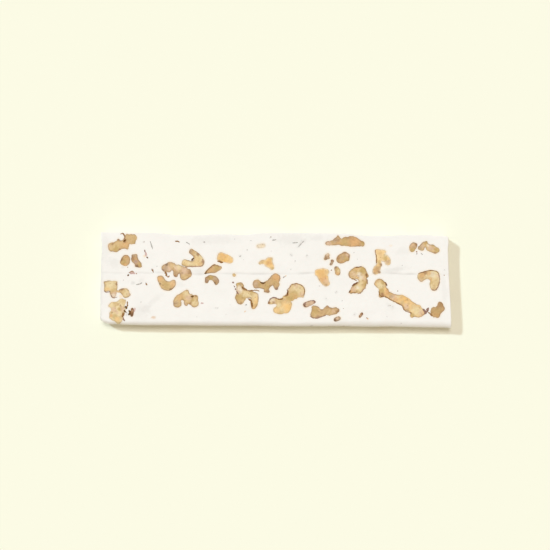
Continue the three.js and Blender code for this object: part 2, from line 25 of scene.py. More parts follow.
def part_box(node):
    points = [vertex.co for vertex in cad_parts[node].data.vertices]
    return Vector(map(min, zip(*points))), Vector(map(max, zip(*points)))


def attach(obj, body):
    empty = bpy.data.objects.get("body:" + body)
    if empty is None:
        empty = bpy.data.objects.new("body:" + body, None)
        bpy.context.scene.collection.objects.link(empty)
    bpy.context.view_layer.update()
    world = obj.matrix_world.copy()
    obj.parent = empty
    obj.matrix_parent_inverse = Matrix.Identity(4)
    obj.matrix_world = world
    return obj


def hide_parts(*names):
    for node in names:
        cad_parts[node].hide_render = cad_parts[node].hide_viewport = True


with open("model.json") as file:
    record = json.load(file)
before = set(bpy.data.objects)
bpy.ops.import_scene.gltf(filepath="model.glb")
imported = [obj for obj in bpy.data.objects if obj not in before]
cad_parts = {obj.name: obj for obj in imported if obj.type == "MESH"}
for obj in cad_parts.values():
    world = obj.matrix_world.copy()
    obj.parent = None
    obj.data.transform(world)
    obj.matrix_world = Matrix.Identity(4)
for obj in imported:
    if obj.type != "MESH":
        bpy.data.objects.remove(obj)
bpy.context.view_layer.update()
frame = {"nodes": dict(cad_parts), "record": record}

MM = 0.001
SLOTS = {row["node"]: row["material_slot"] for row in frame["record"]["subparts"]}
WALNUTS = sorted(name for name in frame["nodes"] if name != "nougat")
LOW, HIGH = (np.array(corner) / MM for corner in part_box("nougat"))
TOP = HIGH[2]
print(f"the frame holds {len(WALNUTS)} walnut pieces in a slice of {(HIGH - LOW).round(1)} mm")

# %% [markdown]
# The camera looks straight down, as over a table. Three facts of the photograph set it: how
# many millimetres one pixel covers on the slice, which pixel lies over the slice's middle, and
# how far the slice is turned in the picture. A long lens high above keeps the sides hidden.

# %% Camera
PICTURE_PIXELS = 550
MIDDLE_PIXEL = (276.1, 279.7)
MM_PER_PIXEL = 0.4376
ROLL = math.radians(0.6)
CAMERA_HEIGHT = 700
SENSOR_WIDTH = 36

aside = (PICTURE_PIXELS / 2 - MIDDLE_PIXEL[0]) * MM_PER_PIXEL
down = (PICTURE_PIXELS / 2 - MIDDLE_PIXEL[1]) * MM_PER_PIXEL
camera_data = bpy.data.cameras.new("camera")
camera_data.sensor_width = SENSOR_WIDTH
camera_data.lens = SENSOR_WIDTH * CAMERA_HEIGHT / (PICTURE_PIXELS * MM_PER_PIXEL)
camera = bpy.data.objects.new("camera", camera_data)
bpy.context.scene.collection.objects.link(camera)
camera.rotation_euler = (0, 0, ROLL)
camera.location = Vector((
    aside * math.cos(ROLL) + down * math.sin(ROLL),
    aside * math.sin(ROLL) - down * math.cos(ROLL),
    TOP + CAMERA_HEIGHT,
)) * MM
bpy.context.scene.camera = camera
print(f"camera: a {camera_data.lens:.0f} mm lens, {CAMERA_HEIGHT} mm above the slice")

# %% [markdown]
# The light is a soft studio one, built from suns, because a sun gives the same light all over
# the table. The key stands at the upper left, high enough that the shadow is a little over half
# as long as the slice is thick. A broad lamp over the far side softens the shadow along the near
# side, and a pale surrounding lifts everything.
#
# What lies flat gets the same light everywhere, so a colour seen in the photograph can be
# turned into a paint colour: divide it by that light. The helper seen() does this.

# %% Light
LAMPS = {
    "key": {"side": (-6.3, 4.2, 10), "share": (0.25, 0.33, 0.39), "width": 4},
    "far": {"side": (-0.3, 2.6, 10), "share": (0.33, 0.33, 0.35), "width": 14},
}
SURROUND = (0.55, 0.47, 0.39)
FLAT_LIGHT = np.sum([lamp["share"] for lamp in LAMPS.values()], axis=0) + SURROUND


def add_sun(name, side, share, width):
    """A sun whose light on a level surface is the given share of full white."""
    towards = Vector(side).normalized()
    data = bpy.data.lights.new(name, "SUN")
    data.energy = max(share) * math.pi / towards.z
    data.color = np.array(share) / max(share)
    data.angle = math.radians(width)
    sun = bpy.data.objects.new(name, data)
    bpy.context.scene.collection.objects.link(sun)
    sun.rotation_euler = towards.to_track_quat("Z", "Y").to_euler()


def linear(*levels):
    """A colour read as 0 to 255 on a screen, as linear values: the sRGB curve, backwards."""
    return [((v / 255 + 0.055) / 1.055) ** 2.4 if v > 10 else v / 255 / 12.92 for v in levels]


def seen(*levels):
    """The paint colour that shows as this screen colour where it lies flat in our light."""
    return (*np.divide(linear(*levels), FLAT_LIGHT), 1.0)


for name, lamp in LAMPS.items():
    add_sun(name, **lamp)
world = bpy.data.worlds.new("surround")
world.use_nodes = True
world.node_tree.nodes["Background"].inputs["Color"].default_value = (*SURROUND, 1)
bpy.context.scene.world = world
bpy.context.scene.view_settings.view_transform = "Standard"
print(f"light on a level surface: {FLAT_LIGHT.round(2)}")

# %% [markdown]
# Shader maths reads best as plain formulas. The class below wraps one socket of a material's
# node tree. Adding, taking away and multiplying make Math nodes behind the scenes, also when the
# number comes first. Every other node comes from one method, which takes the node's type, its
# settings and what goes into its sockets.

# %% A socket that does sums
class Strand:
    """A socket in a node tree that can be used in formulas."""

    def __init__(self, tree, socket=None):
        self.tree = tree
        self.socket = socket

    def node(self, kind, settings=None, sockets=None, output=0):
        """Make a node, set it up, feed its sockets, and return one of its outputs."""
        made = self.tree.nodes.new(kind)
        for key, value in (settings or {}).items():
            setattr(made, key, value)
        for key, value in (sockets or {}).items():
            self._feed(self._find(made.inputs, key), value)
        return Strand(self.tree, self._find(made.outputs, output))

    @staticmethod
    def _find(sockets, key):
        for socket in sockets:
            if socket.identifier == key:
                return socket
        return sockets[key]

    def _feed(self, socket, value):
        if isinstance(value, Strand):
            self.tree.links.new(value.socket, socket)
        else:
            socket.default_value = value

    def _sum(self, operation, *values):
        return self.node("ShaderNodeMath", {"operation": operation}, dict(enumerate(values)))

    def __add__(self, other):
        return self._sum("ADD", self, other)

    def __sub__(self, other):
        return self._sum("SUBTRACT", self, other)

    def __rsub__(self, other):
        return self._sum("SUBTRACT", other, self)

    def __mul__(self, other):
        return self._sum("MULTIPLY", self, other)

    __radd__ = __add__
    __rmul__ = __mul__

    def between(self, low, high):
        """0 below low, 1 above high, and a smooth passage between them."""
        settings = {"interpolation_type": "SMOOTHSTEP", "clamp": True}
        return self.node("ShaderNodeMapRange", settings,
                         {"Value": self, "From Min": low, "From Max": high})

    def mix(self, first, second):
        """The first colour where this is 0, the second where it is 1."""
        settings = {"data_type": "RGBA", "clamp_factor": True}
        sockets = {"Factor_Float": self, "A_Color": first, "B_Color": second}
        return self.node("ShaderNodeMix", settings, sockets, "Result_Color")

    def lumps(self, size, detail=3.0):
        """Noise from 0 to 1 whose lumps are so many millimetres across."""
        place = self.node("ShaderNodeTexCoord", output="Object")
        sockets = {"Vector": place, "Scale": 1 / (size * MM), "Detail": detail}
        return self.node("ShaderNodeTexNoise", None, sockets, "Fac")


print("a strand can:", *[name for name in vars(Strand) if not name.startswith("_")])

# %% [markdown]
# Every material here starts from the Principled shader. Nougat and nut both let light in a
# little way, which Blender calls subsurface. What is the same all over goes straight onto the
# shader's own sockets. What changes from place to place is only the colour and the bump.

# %% A material and its paint
SCATTER = (0.9, 1.0, 1.0)


def new_material(name, roughness, specular, subsurface=0.0, subsurface_mm=1.0):
    """A material, its shader node with the constants set, and a strand to start formulas."""
    material = bpy.data.materials.new(name)
    material.use_nodes = True
    shader = material.node_tree.nodes["Principled BSDF"]
    shader.inputs["Roughness"].default_value = roughness
    shader.inputs["Specular IOR Level"].default_value = specular
    shader.inputs["Subsurface Weight"].default_value = subsurface
    shader.inputs["Subsurface Radius"].default_value = SCATTER
    shader.inputs["Subsurface Scale"].default_value = subsurface_mm * MM
    return material, shader, Strand(material.node_tree)


def paint(shader, color, height, height_mm):
    """Link a colour, and a height for the bump, to the shader."""
    color.tree.links.new(color.socket, shader.inputs["Base Color"])
    bump = height.node("ShaderNodeBump", None,
                       {"Strength": 1.0, "Distance": height_mm * MM, "Height": height})
    bump.tree.links.new(bump.socket, shader.inputs["Normal"])


def use_material(thing, material):
    """Let a material be the only one of an object."""
    thing.data.materials.clear()
    thing.data.materials.append(material)


print("light spreads", SCATTER, "as far in red, green and blue")

# %% [markdown]
# The table is a plain sheet of cream paper. It isn't part of the object.

# %% Floor
FLOOR_REACH = 2000
CREAM = (252, 251, 229)
material, shader, _ = new_material("table_cream", roughness=0.9, specular=0.1)
shader.inputs["Base Color"].default_value = seen(*CREAM)
floor_mesh = bpy.data.meshes.new("table")
reach = FLOOR_REACH * MM
floor_corners = [(-reach, -reach, 0), (reach, -reach, 0), (reach, reach, 0), (-reach, reach, 0)]
floor_mesh.from_pydata(floor_corners, [], [(0, 1, 2, 3)])
table = bpy.data.objects.new("table", floor_mesh)
use_material(table, material)
bpy.context.scene.collection.objects.link(table)
print(f"floor: {2 * FLOOR_REACH} mm wide, in screen colour {CREAM}")

# %% [markdown]
# Noise in numpy is a cube of random numbers, read with smooth steps between them: fast enough
# for hundreds of thousands of points, and the same on each run. Three more small helpers turn
# it, distances and given curves into depths and strengths.

# %% Noise
dice = np.random.default_rng(11)
NOISE_CUBE = 64
NOISE_VALUES = dice.uniform(-1, 1, (NOISE_CUBE,) * 3)


def noise(points, size, shift=0.0):
    """Smooth noise from -1 to 1 at points in millimetres, with lumps of the given size."""
    scaled = np.asarray(points, float) / size + shift
    cell = np.floor(scaled).astype(int)
    share = scaled - cell
    share = share * share * (3 - 2 * share)
    total = np.zeros(len(scaled))
    for corner in itertools.product((0, 1), repeat=3):
        weight = np.prod(np.where(corner, share, 1 - share), axis=1)
        spot = (cell + corner) % NOISE_CUBE
        total += weight * NOISE_VALUES[spot[:, 0], spot[:, 1], spot[:, 2]]
    return total


def dents(points, depth, size, shift=0.0):
    """Depths from 0 to the given one, in lumps of the given size."""
    return depth * (1 + noise(points, size, shift)) / 2


def fade(distance, reach):
    """1 where the distance is 0, and softly less, to almost nothing at twice the reach."""
    return np.exp(-(distance / reach) ** 2)


def read_curve(curve, places):
    """The value at some places of a curve that is given as pairs of place and value."""
    return np.interp(places, *zip(*curve))


print(f"noise: a cube of {NOISE_VALUES.size} numbers, {NOISE_VALUES.mean():.3f} on average")

# %% [markdown]
# Shapes are lists of points and faces. Many of ours are tubes: rings of points, one after the
# other, with a cap at each end. Lists join into one mesh, as long as each face's point numbers
# are moved up by the points that came before it.

# %% Points, faces and meshes
def tube_faces(count, rings):
    """A cap at each end of a tube, and squares between its rings of so many points."""
    last = count * (rings - 1)
    faces = [list(range(count)), list(range(last + count - 1, last - 1, -1))]
    for start_at in range(0, last, count):
        for k in range(count):
            after = (k + 1) % count
            faces.append([start_at + k, start_at + count + k, start_at + count + after, start_at + after])
    return faces


def join(shapes):
    """All points and all faces of many shapes, each given as its points and faces."""
    points, faces = [], []
    for own_points, own_faces in shapes:
        faces += [[index + len(points) for index in face] for face in own_faces]
        points += np.asarray(own_points).tolist()
    return points, faces


def add_object(name, points, faces):
    """A mesh object from points in millimetres."""
    mesh = bpy.data.meshes.new(name)
    mesh.from_pydata((np.asarray(points) * MM).tolist(), [], faces)
    mesh.validate()
    thing = bpy.data.objects.new(name, mesh)
    bpy.context.scene.collection.objects.link(thing)
    return thing


def points_of(thing):
    """The points of an object's mesh, in millimetres."""
    values = np.empty(len(thing.data.vertices) * 3)
    thing.data.vertices.foreach_get("co", values)
    return values.reshape(-1, 3) / MM


def distance_to(targets, places):
    """How far each place is from the nearest of the targets."""
    tree = KDTree(len(targets))
    for index, target in enumerate(targets):
        tree.insert(target, index)
    tree.balance()
    return np.array([tree.find(place)[2] for place in places])


def smooth_but_sharp(thing, degrees):
    """Shade smoothly, but keep edges that turn by more than the angle."""
    thing.data.shade_smooth()
    thing.data.set_sharp_from_angle(angle=math.radians(degrees))


print("a tube of three rings of five has", len(tube_faces(5, 3)), "faces")

# %% [markdown]
# Where are the slice's four sides? The frame knows. First we read its solids as welded points
# and faces, and keep them all in one tree that rays can be shot at.

# %% The frame's solids
WELD = 1e-6


def weld(name):
    """A frame node as welded points in millimetres and triangles."""
    shape = bmesh.new()
    shape.from_mesh(frame["nodes"][name].data)
    bmesh.ops.remove_doubles(shape, verts=shape.verts, dist=WELD)
    points = np.array([vert.co[:] for vert in shape.verts]) / MM
    faces = [[vert.index for vert in face.verts] for face in shape.faces]
    shape.free()
    return points, faces


solids = {name: weld(name) for name in frame["nodes"]}
whole = BVHTree.FromPolygons(*join(solids.values()))
print("solids:", len(solids), "with", sum(len(faces) for _, faces in solids.values()), "triangles")

# %% [markdown]
# A ray from outside meets the side of the solid, and the hits at even steps give each side's
# line. Three rays side by side step over the fine gaps round the walnut pieces, and the line is
# smoothed to lose the solid's facets. The solid is too coarse at its corners, so the last
# stretch to each corner is listed: three corners are sharp, and the near left one is broken
# off aslant.

# %% The four sides
SIDE_HEIGHT = 8.0
OUTSIDE = 100
SIDE_STEP = 0.5
RAY_OFFSETS = (-0.4, 0, 0.4)
SMOOTH_OVER = 11
STRAIGHT_REACH = (70, 15)
CORNERS = {
    "left": ([(-21, -76.9), (-18.5, -77.05)], [(19, -77.1), (21, -77.1)]),
    "right": ([(-21, 77.15), (-18, 77.1)],
              [(16.5, 75.55), (18.6, 75.45), (19.8, 75.3), (21, 75.2)]),
    "near": ([(-78, -17.6), (-77, -18.5), (-75.3, -19.9), (-73, -20.5)],
             [(74, -20.4), (77.5, -20.7)]),
    "far": ([(-77.5, 20.2), (-74, 20.2)], [(73, 20.15), (74.6, 19.9), (77.5, 19.6)]),
}
SIDES = {"left": (0, -1), "right": (0, 1), "near": (1, -1), "far": (1, 1)}


def hit(axis, sign, place):
    """How far out a ray from outside meets the slice, at a place along one side."""
    origin = Vector((0, 0, SIDE_HEIGHT))
    origin[1 - axis] = place
    origin[axis] = sign * OUTSIDE
    direction = Vector((0, 0, 0))
    direction[axis] = -sign
    return whole.ray_cast(origin, direction)[0][axis] * sign


def side_line(name):
    """Places along one side, and how far out the side lies at each of them."""
    axis, sign = SIDES[name]
    reach = STRAIGHT_REACH[1 - axis]
    places = np.arange(-reach, reach, SIDE_STEP)
    outermost = [sign * max(hit(axis, sign, place + offset) for offset in RAY_OFFSETS)
                 for place in places]
    kernel = np.hanning(SMOOTH_OVER) / np.hanning(SMOOTH_OVER).sum()
    padded = np.pad(outermost, SMOOTH_OVER // 2, mode="reflect", reflect_type="odd")
    line = list(zip(places, np.convolve(padded, kernel, mode="valid")))
    first, last = CORNERS[name]
    return np.array(first + line + last).T


LINES = {name: side_line(name) for name in SIDES}


def side_at(name, place):
    """Where a side lies at a place along it."""
    return np.interp(place, *LINES[name])


print("sides at the middle:", {name: round(float(side_at(name, 0)), 2) for name in SIDES})

# %% [markdown]
# The block is a fine shell: a box of small squares with rounded edges. A sculptor would start
# from a cube and brushes. We can be exact instead, and let noise do what the knife and the soft
# paste did. The lattice of squares is even on the faces and closer where the edges turn.

# %% A box of small squares
CELL = 0.46
EDGE_RADIUS = 0.5
EDGE_CELLS = 4


def lattice_lines(size):
    """Places of the lattice along one length: even in the middle, closer in the rounded edges."""
    turns = np.linspace(0, math.pi / 4, EDGE_CELLS + 1)
    edge = EDGE_RADIUS * (1 - np.tan(turns[::-1]))
    middle = np.linspace(EDGE_RADIUS, size - EDGE_RADIUS, int(size / CELL))
    return np.concatenate([edge, middle[1:-1], (size - edge)[::-1]])


def box_shell(size):
    """The lattice points on the surface of a box, and the squares between them."""
    lines = [lattice_lines(length) for length in size]
    cells = np.array([len(line) - 1 for line in lines])
    lattice = np.stack(np.meshgrid(*[np.arange(n + 1) for n in cells], indexing="ij"), axis=-1)
    on_surface = np.any((lattice == 0) | (lattice == cells), axis=-1)
    spots = lattice[on_surface]
    number = np.full(on_surface.shape, -1)
    number[on_surface] = np.arange(on_surface.sum())
    squares = []
    for axis in range(3):
        for end in (0, -1):
            sheet = np.take(number, end, axis=axis)
            corners = [sheet[:-1, :-1], sheet[1:, :-1], sheet[1:, 1:], sheet[:-1, 1:]]
            if (end == 0) != (axis == 1):
                corners.reverse()
            squares.append(np.stack(corners, axis=-1).reshape(-1, 4))
    points = np.stack([line[spots[:, axis]] for axis, line in enumerate(lines)], axis=1)
    return points - size / 2, np.concatenate(squares)


def rounded_box(size):
    """The shell with its edges rounded, the way out at each point, and its squares."""
    point, squares = box_shell(size)
    inner = np.clip(point, EDGE_RADIUS - size / 2, size / 2 - EDGE_RADIUS)
    outward = point - inner
    outward /= np.linalg.norm(outward, axis=1, keepdims=True)
    return inner + outward * EDGE_RADIUS, outward, squares


SIZE = HIGH - LOW
box_points, box_outward, block_squares = rounded_box(SIZE)
print(f"box: {len(block_squares)} squares")

# %% [markdown]
# The slab was pressed from two layers, and the seam between them shows as a fine groove along
# the slice, with painted shade along it. It lies elsewhere on the lower face, and joins up over
# the ends. It doesn't show evenly: the last curve says how much of it shows at each place along
# the slice.

# %% The seam
SEAM_ABOVE = [(-78, 2.4), (-50, 2.4), (-35, 2.1), (-16, 2.5), (10, 2.9), (40, 3.1), (78, 3.2)]
SEAM_BELOW = [(-78, 1.9), (-60, 1.1), (-44, -1.5), (-25, 0.6), (0, 3.7), (35, 2.7), (78, 3.7)]
SEAM_SHOWS = [(-78, 0.2), (-60, 0.3), (-57, 0.6), (-50, 0.6), (-47, 0.2), (-39, 0.3), (-36, 0.7),
              (-33, 0.7), (-30, 0.2), (-26, 0.4), (-14, 0.5), (-12, 0.8), (-4, 0.8), (0, 0.4),
              (9, 0.4), (11, 1.2), (13.5, 1.2), (16, 0.4), (24, 0.1), (44, 0.1), (50, 0.6),
              (56, 0.6), (58, 1.2), (60, 1.2), (62, 0.2), (78, 0.1)]
SEAM_WANDER = 0.25
SEAM_FAINTEST, SEAM_CLEAREST = 0.05, 1.3
LENGTHWISE = (1, 0, 0)


def seam_mark(points, width):
    """How much the seam shows at each point, on the upper and lower face and on the ends."""
    lengthwise = points * LENGTHWISE
    above = read_curve(SEAM_ABOVE, points[:, 0])
    below = read_curve(SEAM_BELOW, points[:, 0])
    line = below + (above - below) * points[:, 2] / TOP
    wander = SEAM_WANDER * noise(lengthwise, 4.0)
    shows = read_curve(SEAM_SHOWS, points[:, 0]) + SEAM_WANDER * noise(lengthwise, 3.0, 3.0)
    shows = np.clip(shows, SEAM_FAINTEST, SEAM_CLEAREST)
    return shows * fade(points[:, 1] - line - wander, width)


print("the seam moves", np.ptp([y for _, y in SEAM_ABOVE]).round(1), "mm across the upper face")

# %% [markdown]
# Now the box becomes the block. Its sides bend to the four lines. Its near edge slumped a little
# after the cut, so the face rounds off towards it. The rest is shallow relief: long waves, the
# drag of the blade across the slice, small dimples, rougher sides, and the seam.

# %% The block of nougat
BEND_ROUNDS = 4
SLUMP_WIDTHS = [(-78, 1.8), (-64, 2.2), (24, 2.5), (30, 3.1), (78, 2.9)]
SLUMP_WANDER = 0.2
SLUMP_DROP = 3.4
WAVES = 0.10
DRAG = 0.035
DRAG_STRETCH = np.array([[0.12, 0.5, 0], [-0.1, 0.9, 0], [0, 0, 0.5]])
DIMPLES = 0.03
FEW = 0.55
ROUGH_SIDES = 0.12
SEAM_WIDTH = 0.3
SEAM_DEPTH = 0.16
FACES_DOWN = -0.99


def bend_to_sides(point):
    """Move the box's points to the four side lines. Also returns the near side at each point."""
    over, across = (point[:, :2] / SIZE[:2] + 0.5).T
    x, y = point[:, 0], point[:, 1]
    for _ in range(BEND_ROUNDS):
        left, right = side_at("left", y), side_at("right", y)
        near, far = side_at("near", x), side_at("far", x)
        x = left + (right - left) * over
        y = near + (far - near) * across
    return np.stack([x, y, point[:, 2] + TOP / 2], axis=1), near


def slump(point, near):
    """How far each point sinks where the near edge gave way."""
    width = read_curve(SLUMP_WIDTHS, point[:, 0])
    width *= 1 + SLUMP_WANDER * noise(point * LENGTHWISE, 5.0, 2.0)
    nearness = np.clip(1 - (point[:, 1] - near) / width, 0, 1)
    return SLUMP_DROP * (1 - np.sqrt(1 - nearness ** 2)) * point[:, 2] / TOP


def face_relief(point, outward):
    """How deep each point is dented."""
    level = np.abs(outward[:, 2])
    depth = dents(point, WAVES, 7.0) + dents(point @ DRAG_STRETCH, DRAG, 1.0)
    depth += dents(point, DIMPLES, 1.3)
    depth += 2 * DIMPLES * np.clip(noise(point, 2.1, 5.0) - FEW, 0, 1)
    depth += (1 - level) * dents(point, ROUGH_SIDES, 3.1, 9.0)
    depth += SEAM_DEPTH * seam_mark(point, SEAM_WIDTH) * np.maximum(level, np.abs(outward[:, 0]))
    depth[outward[:, 2] < FACES_DOWN] *= 0.5
    return depth


block_points, near_side = bend_to_sides(box_points)
block_points[:, 2] -= slump(block_points, near_side)
block_points -= box_outward * face_relief(block_points, box_outward)[:, None]
block_points[:, 2] = np.clip(block_points[:, 2], 0, TOP)
block = add_object("nougat_block", block_points, block_squares.tolist())
print(f"block: {np.ptp(block_points, axis=0).round(2)} mm")

# %% [markdown]
# Each walnut piece shows on one face of the slice, as its name says. To draw on that face, we
# turn the piece so that the face lies level before us. Each row below gives the three axes of
# such a view, as directions in the slice.

# %% Which way a piece faces
VIEWS = {
    "under": ((1, 0, 0), (0, -1, 0), (0, 0, -1)),
    "near": ((1, 0, 0), (0, 0, 1), (0, -1, 0)),
    "far": ((-1, 0, 0), (0, 0, 1), (0, 1, 0)),
    "end_left": ((0, -1, 0), (0, 0, 1), (-1, 0, 0)),
    "end_right": ((0, 1, 0), (0, 0, 1), (1, 0, 0)),
    "above": ((1, 0, 0), (0, 1, 0), (0, 0, 1)),
}


def side_of(name):
    """The face of the slice on which a piece shows, as its name says."""
    found = [side for side in VIEWS if name.startswith("walnut_" + side)]
    return found[0] if found else "above"


print("pieces:", {side: sum(side_of(name) == side for name in WALNUTS) for side in VIEWS})

# %% [markdown]
# An outline is a closed line of points. These helpers find one round some faces, space its
# points evenly, soften its corners and let it grow.

# %% Closed lines
def border(faces, chosen):
    """The longest loop of edges that have a chosen face on one side only."""
    edges = {(a, b) for face in chosen for a, b in zip(faces[face], faces[face][1:] + faces[face][:1])}
    follow = {a: b for a, b in edges if (b, a) not in edges}
    loops = []
    while follow:
        first = next(iter(follow))
        loop = [first]
        while follow.get(loop[-1]) is not None:
            loop.append(follow.pop(loop[-1]))
        loops.append(loop[:-1])
    return max(loops, key=len)


def even_steps(loop, count):
    """A closed line of the given number of even steps along a loop of points."""
    closed = np.vstack([loop, loop[:1]])
    length = np.concatenate([[0], np.cumsum(np.linalg.norm(np.diff(closed, axis=0), axis=1))])
    places = np.arange(count) / count * length[-1]
    return np.stack([np.interp(places, length, closed[:, k]) for k in (0, 1)], axis=1)


def soften(loop, rounds):
    """Move each point of a closed line towards its two neighbours, in a few rounds."""
    for _ in range(rounds):
        loop = (np.roll(loop, 1, axis=0) + 2 * loop + np.roll(loop, -1, axis=0)) / 4
    return loop


def grow(loop, distance):
    """Move a closed line outwards."""
    step = np.roll(loop, -1, axis=0) - np.roll(loop, 1, axis=0)
    step /= np.linalg.norm(step, axis=1, keepdims=True)
    return loop + np.stack([step[:, 1], -step[:, 0]], axis=1) * np.reshape(distance, (-1, 1))


circle = np.array([(math.cos(k), math.sin(k)) for k in np.linspace(0, 2 * math.pi, 24, endpoint=False)])
print("a circle of 1 mm grown by 1 mm reaches", np.abs(grow(circle, 1.0)).max().round(2), "mm")

# %% [markdown]
# Each walnut piece keeps the outline that the frame gives it. We look at its solid from outside,
# find the border of the faces that look at us, and walk round it. A second walk round its hidden
# end says how the piece narrows or turns inside, and starts where it fits the first walk best.

# %% Outline of each piece
RIM_STEP = 0.28
FEWEST_POINTS = 16
RIM_GROWTH = 0.12
FACING = 0.35
TINY = 1e-12


def outlines_of(name):
    """A piece's outer and hidden outline in its side's plane, and the heights of both."""
    points, faces = solids[name]
    local = points @ np.array(VIEWS[side_of(name)], float).T
    corners = local[np.array(faces)]
    normal = np.cross(corners[:, 1] - corners[:, 0], corners[:, 2] - corners[:, 0])
    normal /= np.maximum(np.linalg.norm(normal, axis=1, keepdims=True), TINY)
    outer = local[border(faces, np.nonzero(normal[:, 2] > FACING)[0])][:, :2]
    hidden = local[border(faces, np.nonzero(normal[:, 2] < -FACING)[0])][::-1, :2]
    around = np.linalg.norm(np.roll(outer, 1, axis=0) - outer, axis=1).sum()
    count = max(FEWEST_POINTS, int(around / RIM_STEP))
    outer = soften(even_steps(outer, count), 2)
    hidden = soften(even_steps(hidden, count), 2)
    centred = hidden - hidden.mean(axis=0)
    misfit = [((outer - outer.mean(axis=0) - np.roll(centred, turn, axis=0)) ** 2).sum()
              for turn in range(count)]
    hidden = np.roll(hidden, int(np.argmin(misfit)), axis=0)
    return outer, grow(hidden, RIM_GROWTH), local[:, 2].max(), local[:, 2].min()


OUTLINES = {name: outlines_of(name) for name in WALNUTS}
print("outlines:", sum(len(outer) for outer, *_ in OUTLINES.values()), "points")

# %% [markdown]
# The solids are traced a little smoother than the real nuts. So each piece may have its own
# bites and bulges, read from the photograph: a place on the outline, how far along it the
# bulge reaches, and how far out it goes, or in where the number is below zero. Places read
# from the photograph all lie a hair to one side, which EYE_SHIFT mends.

# %% Bites and bulges of the left half
EYE_SHIFT = np.array([-0.025, 0.124])
NIBBLES = {
    "saddle": [
        (-68, 17.4, 1.4, -0.8), (-64, 14.2, 0.9, -0.5), (-66.6, 19, 1, 0.6), (-61, 17.6, 1.4, 0.5),
        (-62, 14.9, 0.9, 0.4), (-61.9, 18.8, 1.2, 0.5), (-65.6, 18.8, 1.2, 0.5), (-65.2, 12.9, 0.9, 0.7),
        (-70, 11.7, 1.6, 0.4), (-69.2, 16.5, 0.9, 0.4)],
    "egg": [(-68.1, 6.8, 1.6, 0.3)],
    "peg": [(-59, 4.9, 0.9, 0.4), (-61.4, 5.2, 1, 0.6), (-63.2, 10, 1, 0.6), (-61.2, 10, 1, 0.4)],
    "block": [
        (-75.4, -1.8, 0.8, 0.5), (-69.4, -1.7, 0.8, 0.7), (-73.3, -6.4, 0.9, -0.5), (-75.2, -6.4, 0.7, 0.4),
        (-75.1, -4, 1.4, -0.2)],
    "diamond": [(-68.6, -6, 1.1, 0.6), (-66.2, -8.4, 0.9, 0.3), (-64, -7.4, 0.8, 0.3)],
    "cluster": [
        (-72.8, -12.4, 0.9, 0.4), (-65.6, -9.6, 0.8, 0.4), (-72.9, -14.2, 0.9, -0.5),
        (-71.6, -18.6, 0.8, 0.4), (-66.4, -17, 1.8, -0.8), (-73, -16.4, 1.2, -0.4)],
    "bead": [(-64.1, -15.2, 1.4, -0.3), (-62.8, -13.6, 0.8, 0.4)],
    "twin": [
        (-45.6, 3, 0.9, -0.3), (-50.2, 3.6, 0.8, 0.3), (-43.8, 1, 0.9, 0.5), (-38.4, 4.6, 1, -0.5),
        (-43.8, 5.9, 1, -0.3), (-44.6, 1.2, 0.8, 0.3)],
    "crescent": [(-51.8, 0.4, 0.8, 0.3), (-44.2, -0.9, 0.8, 0.3), (-51, 0.9, 1.4, 0.25)],
    "hook_left": [(-35.4, 8.4, 1.6, 1.3), (-41.2, 5.8, 1.1, 0.6), (-37.2, 12.6, 0.9, 0.3)],
    "leaf": [(-24.2, 5, 0.7, 0.25), (-26.8, 6.2, 0.7, 0.3)],
    "arch": [(-30.2, -0.6, 1, -0.3), (-26.2, -2.4, 0.9, 0.3)],
    "slipper": [(-19.8, 8, 1.5, 0.3)],
    "wishbone": [
        (-38.9, -4.8, 0.8, 0.5), (-37.2, -7.6, 1.1, 0.5), (-33.8, -8.4, 1, 0.4), (-34.2, -7.4, 0.8, 0.4),
        (-41.2, -9.8, 0.9, -0.5)],
    "two_legged": [
        (-17.4, -2.2, 0.9, 0.4), (-7.6, -6.6, 1.4, 0.3), (-15, -3, 1.2, 0.6), (-15.4, -2, 0.9, 0.5),
        (-13.6, -8.8, 0.8, 0.4)],
    "strider": [
        (-6, -0.9, 0.9, -0.4), (-7.4, -0.2, 0.8, 0.3), (1.2, -1.2, 0.8, -0.3), (-5.1, -5.4, 0.8, 0.5),
        (-3.2, -5.3, 0.8, 0.6)],
}
print("shaped by eye:", *NIBBLES)

# %% [markdown]
# In the right half the great piece has the widest bulges, between its two lobes and along the
# lower one.

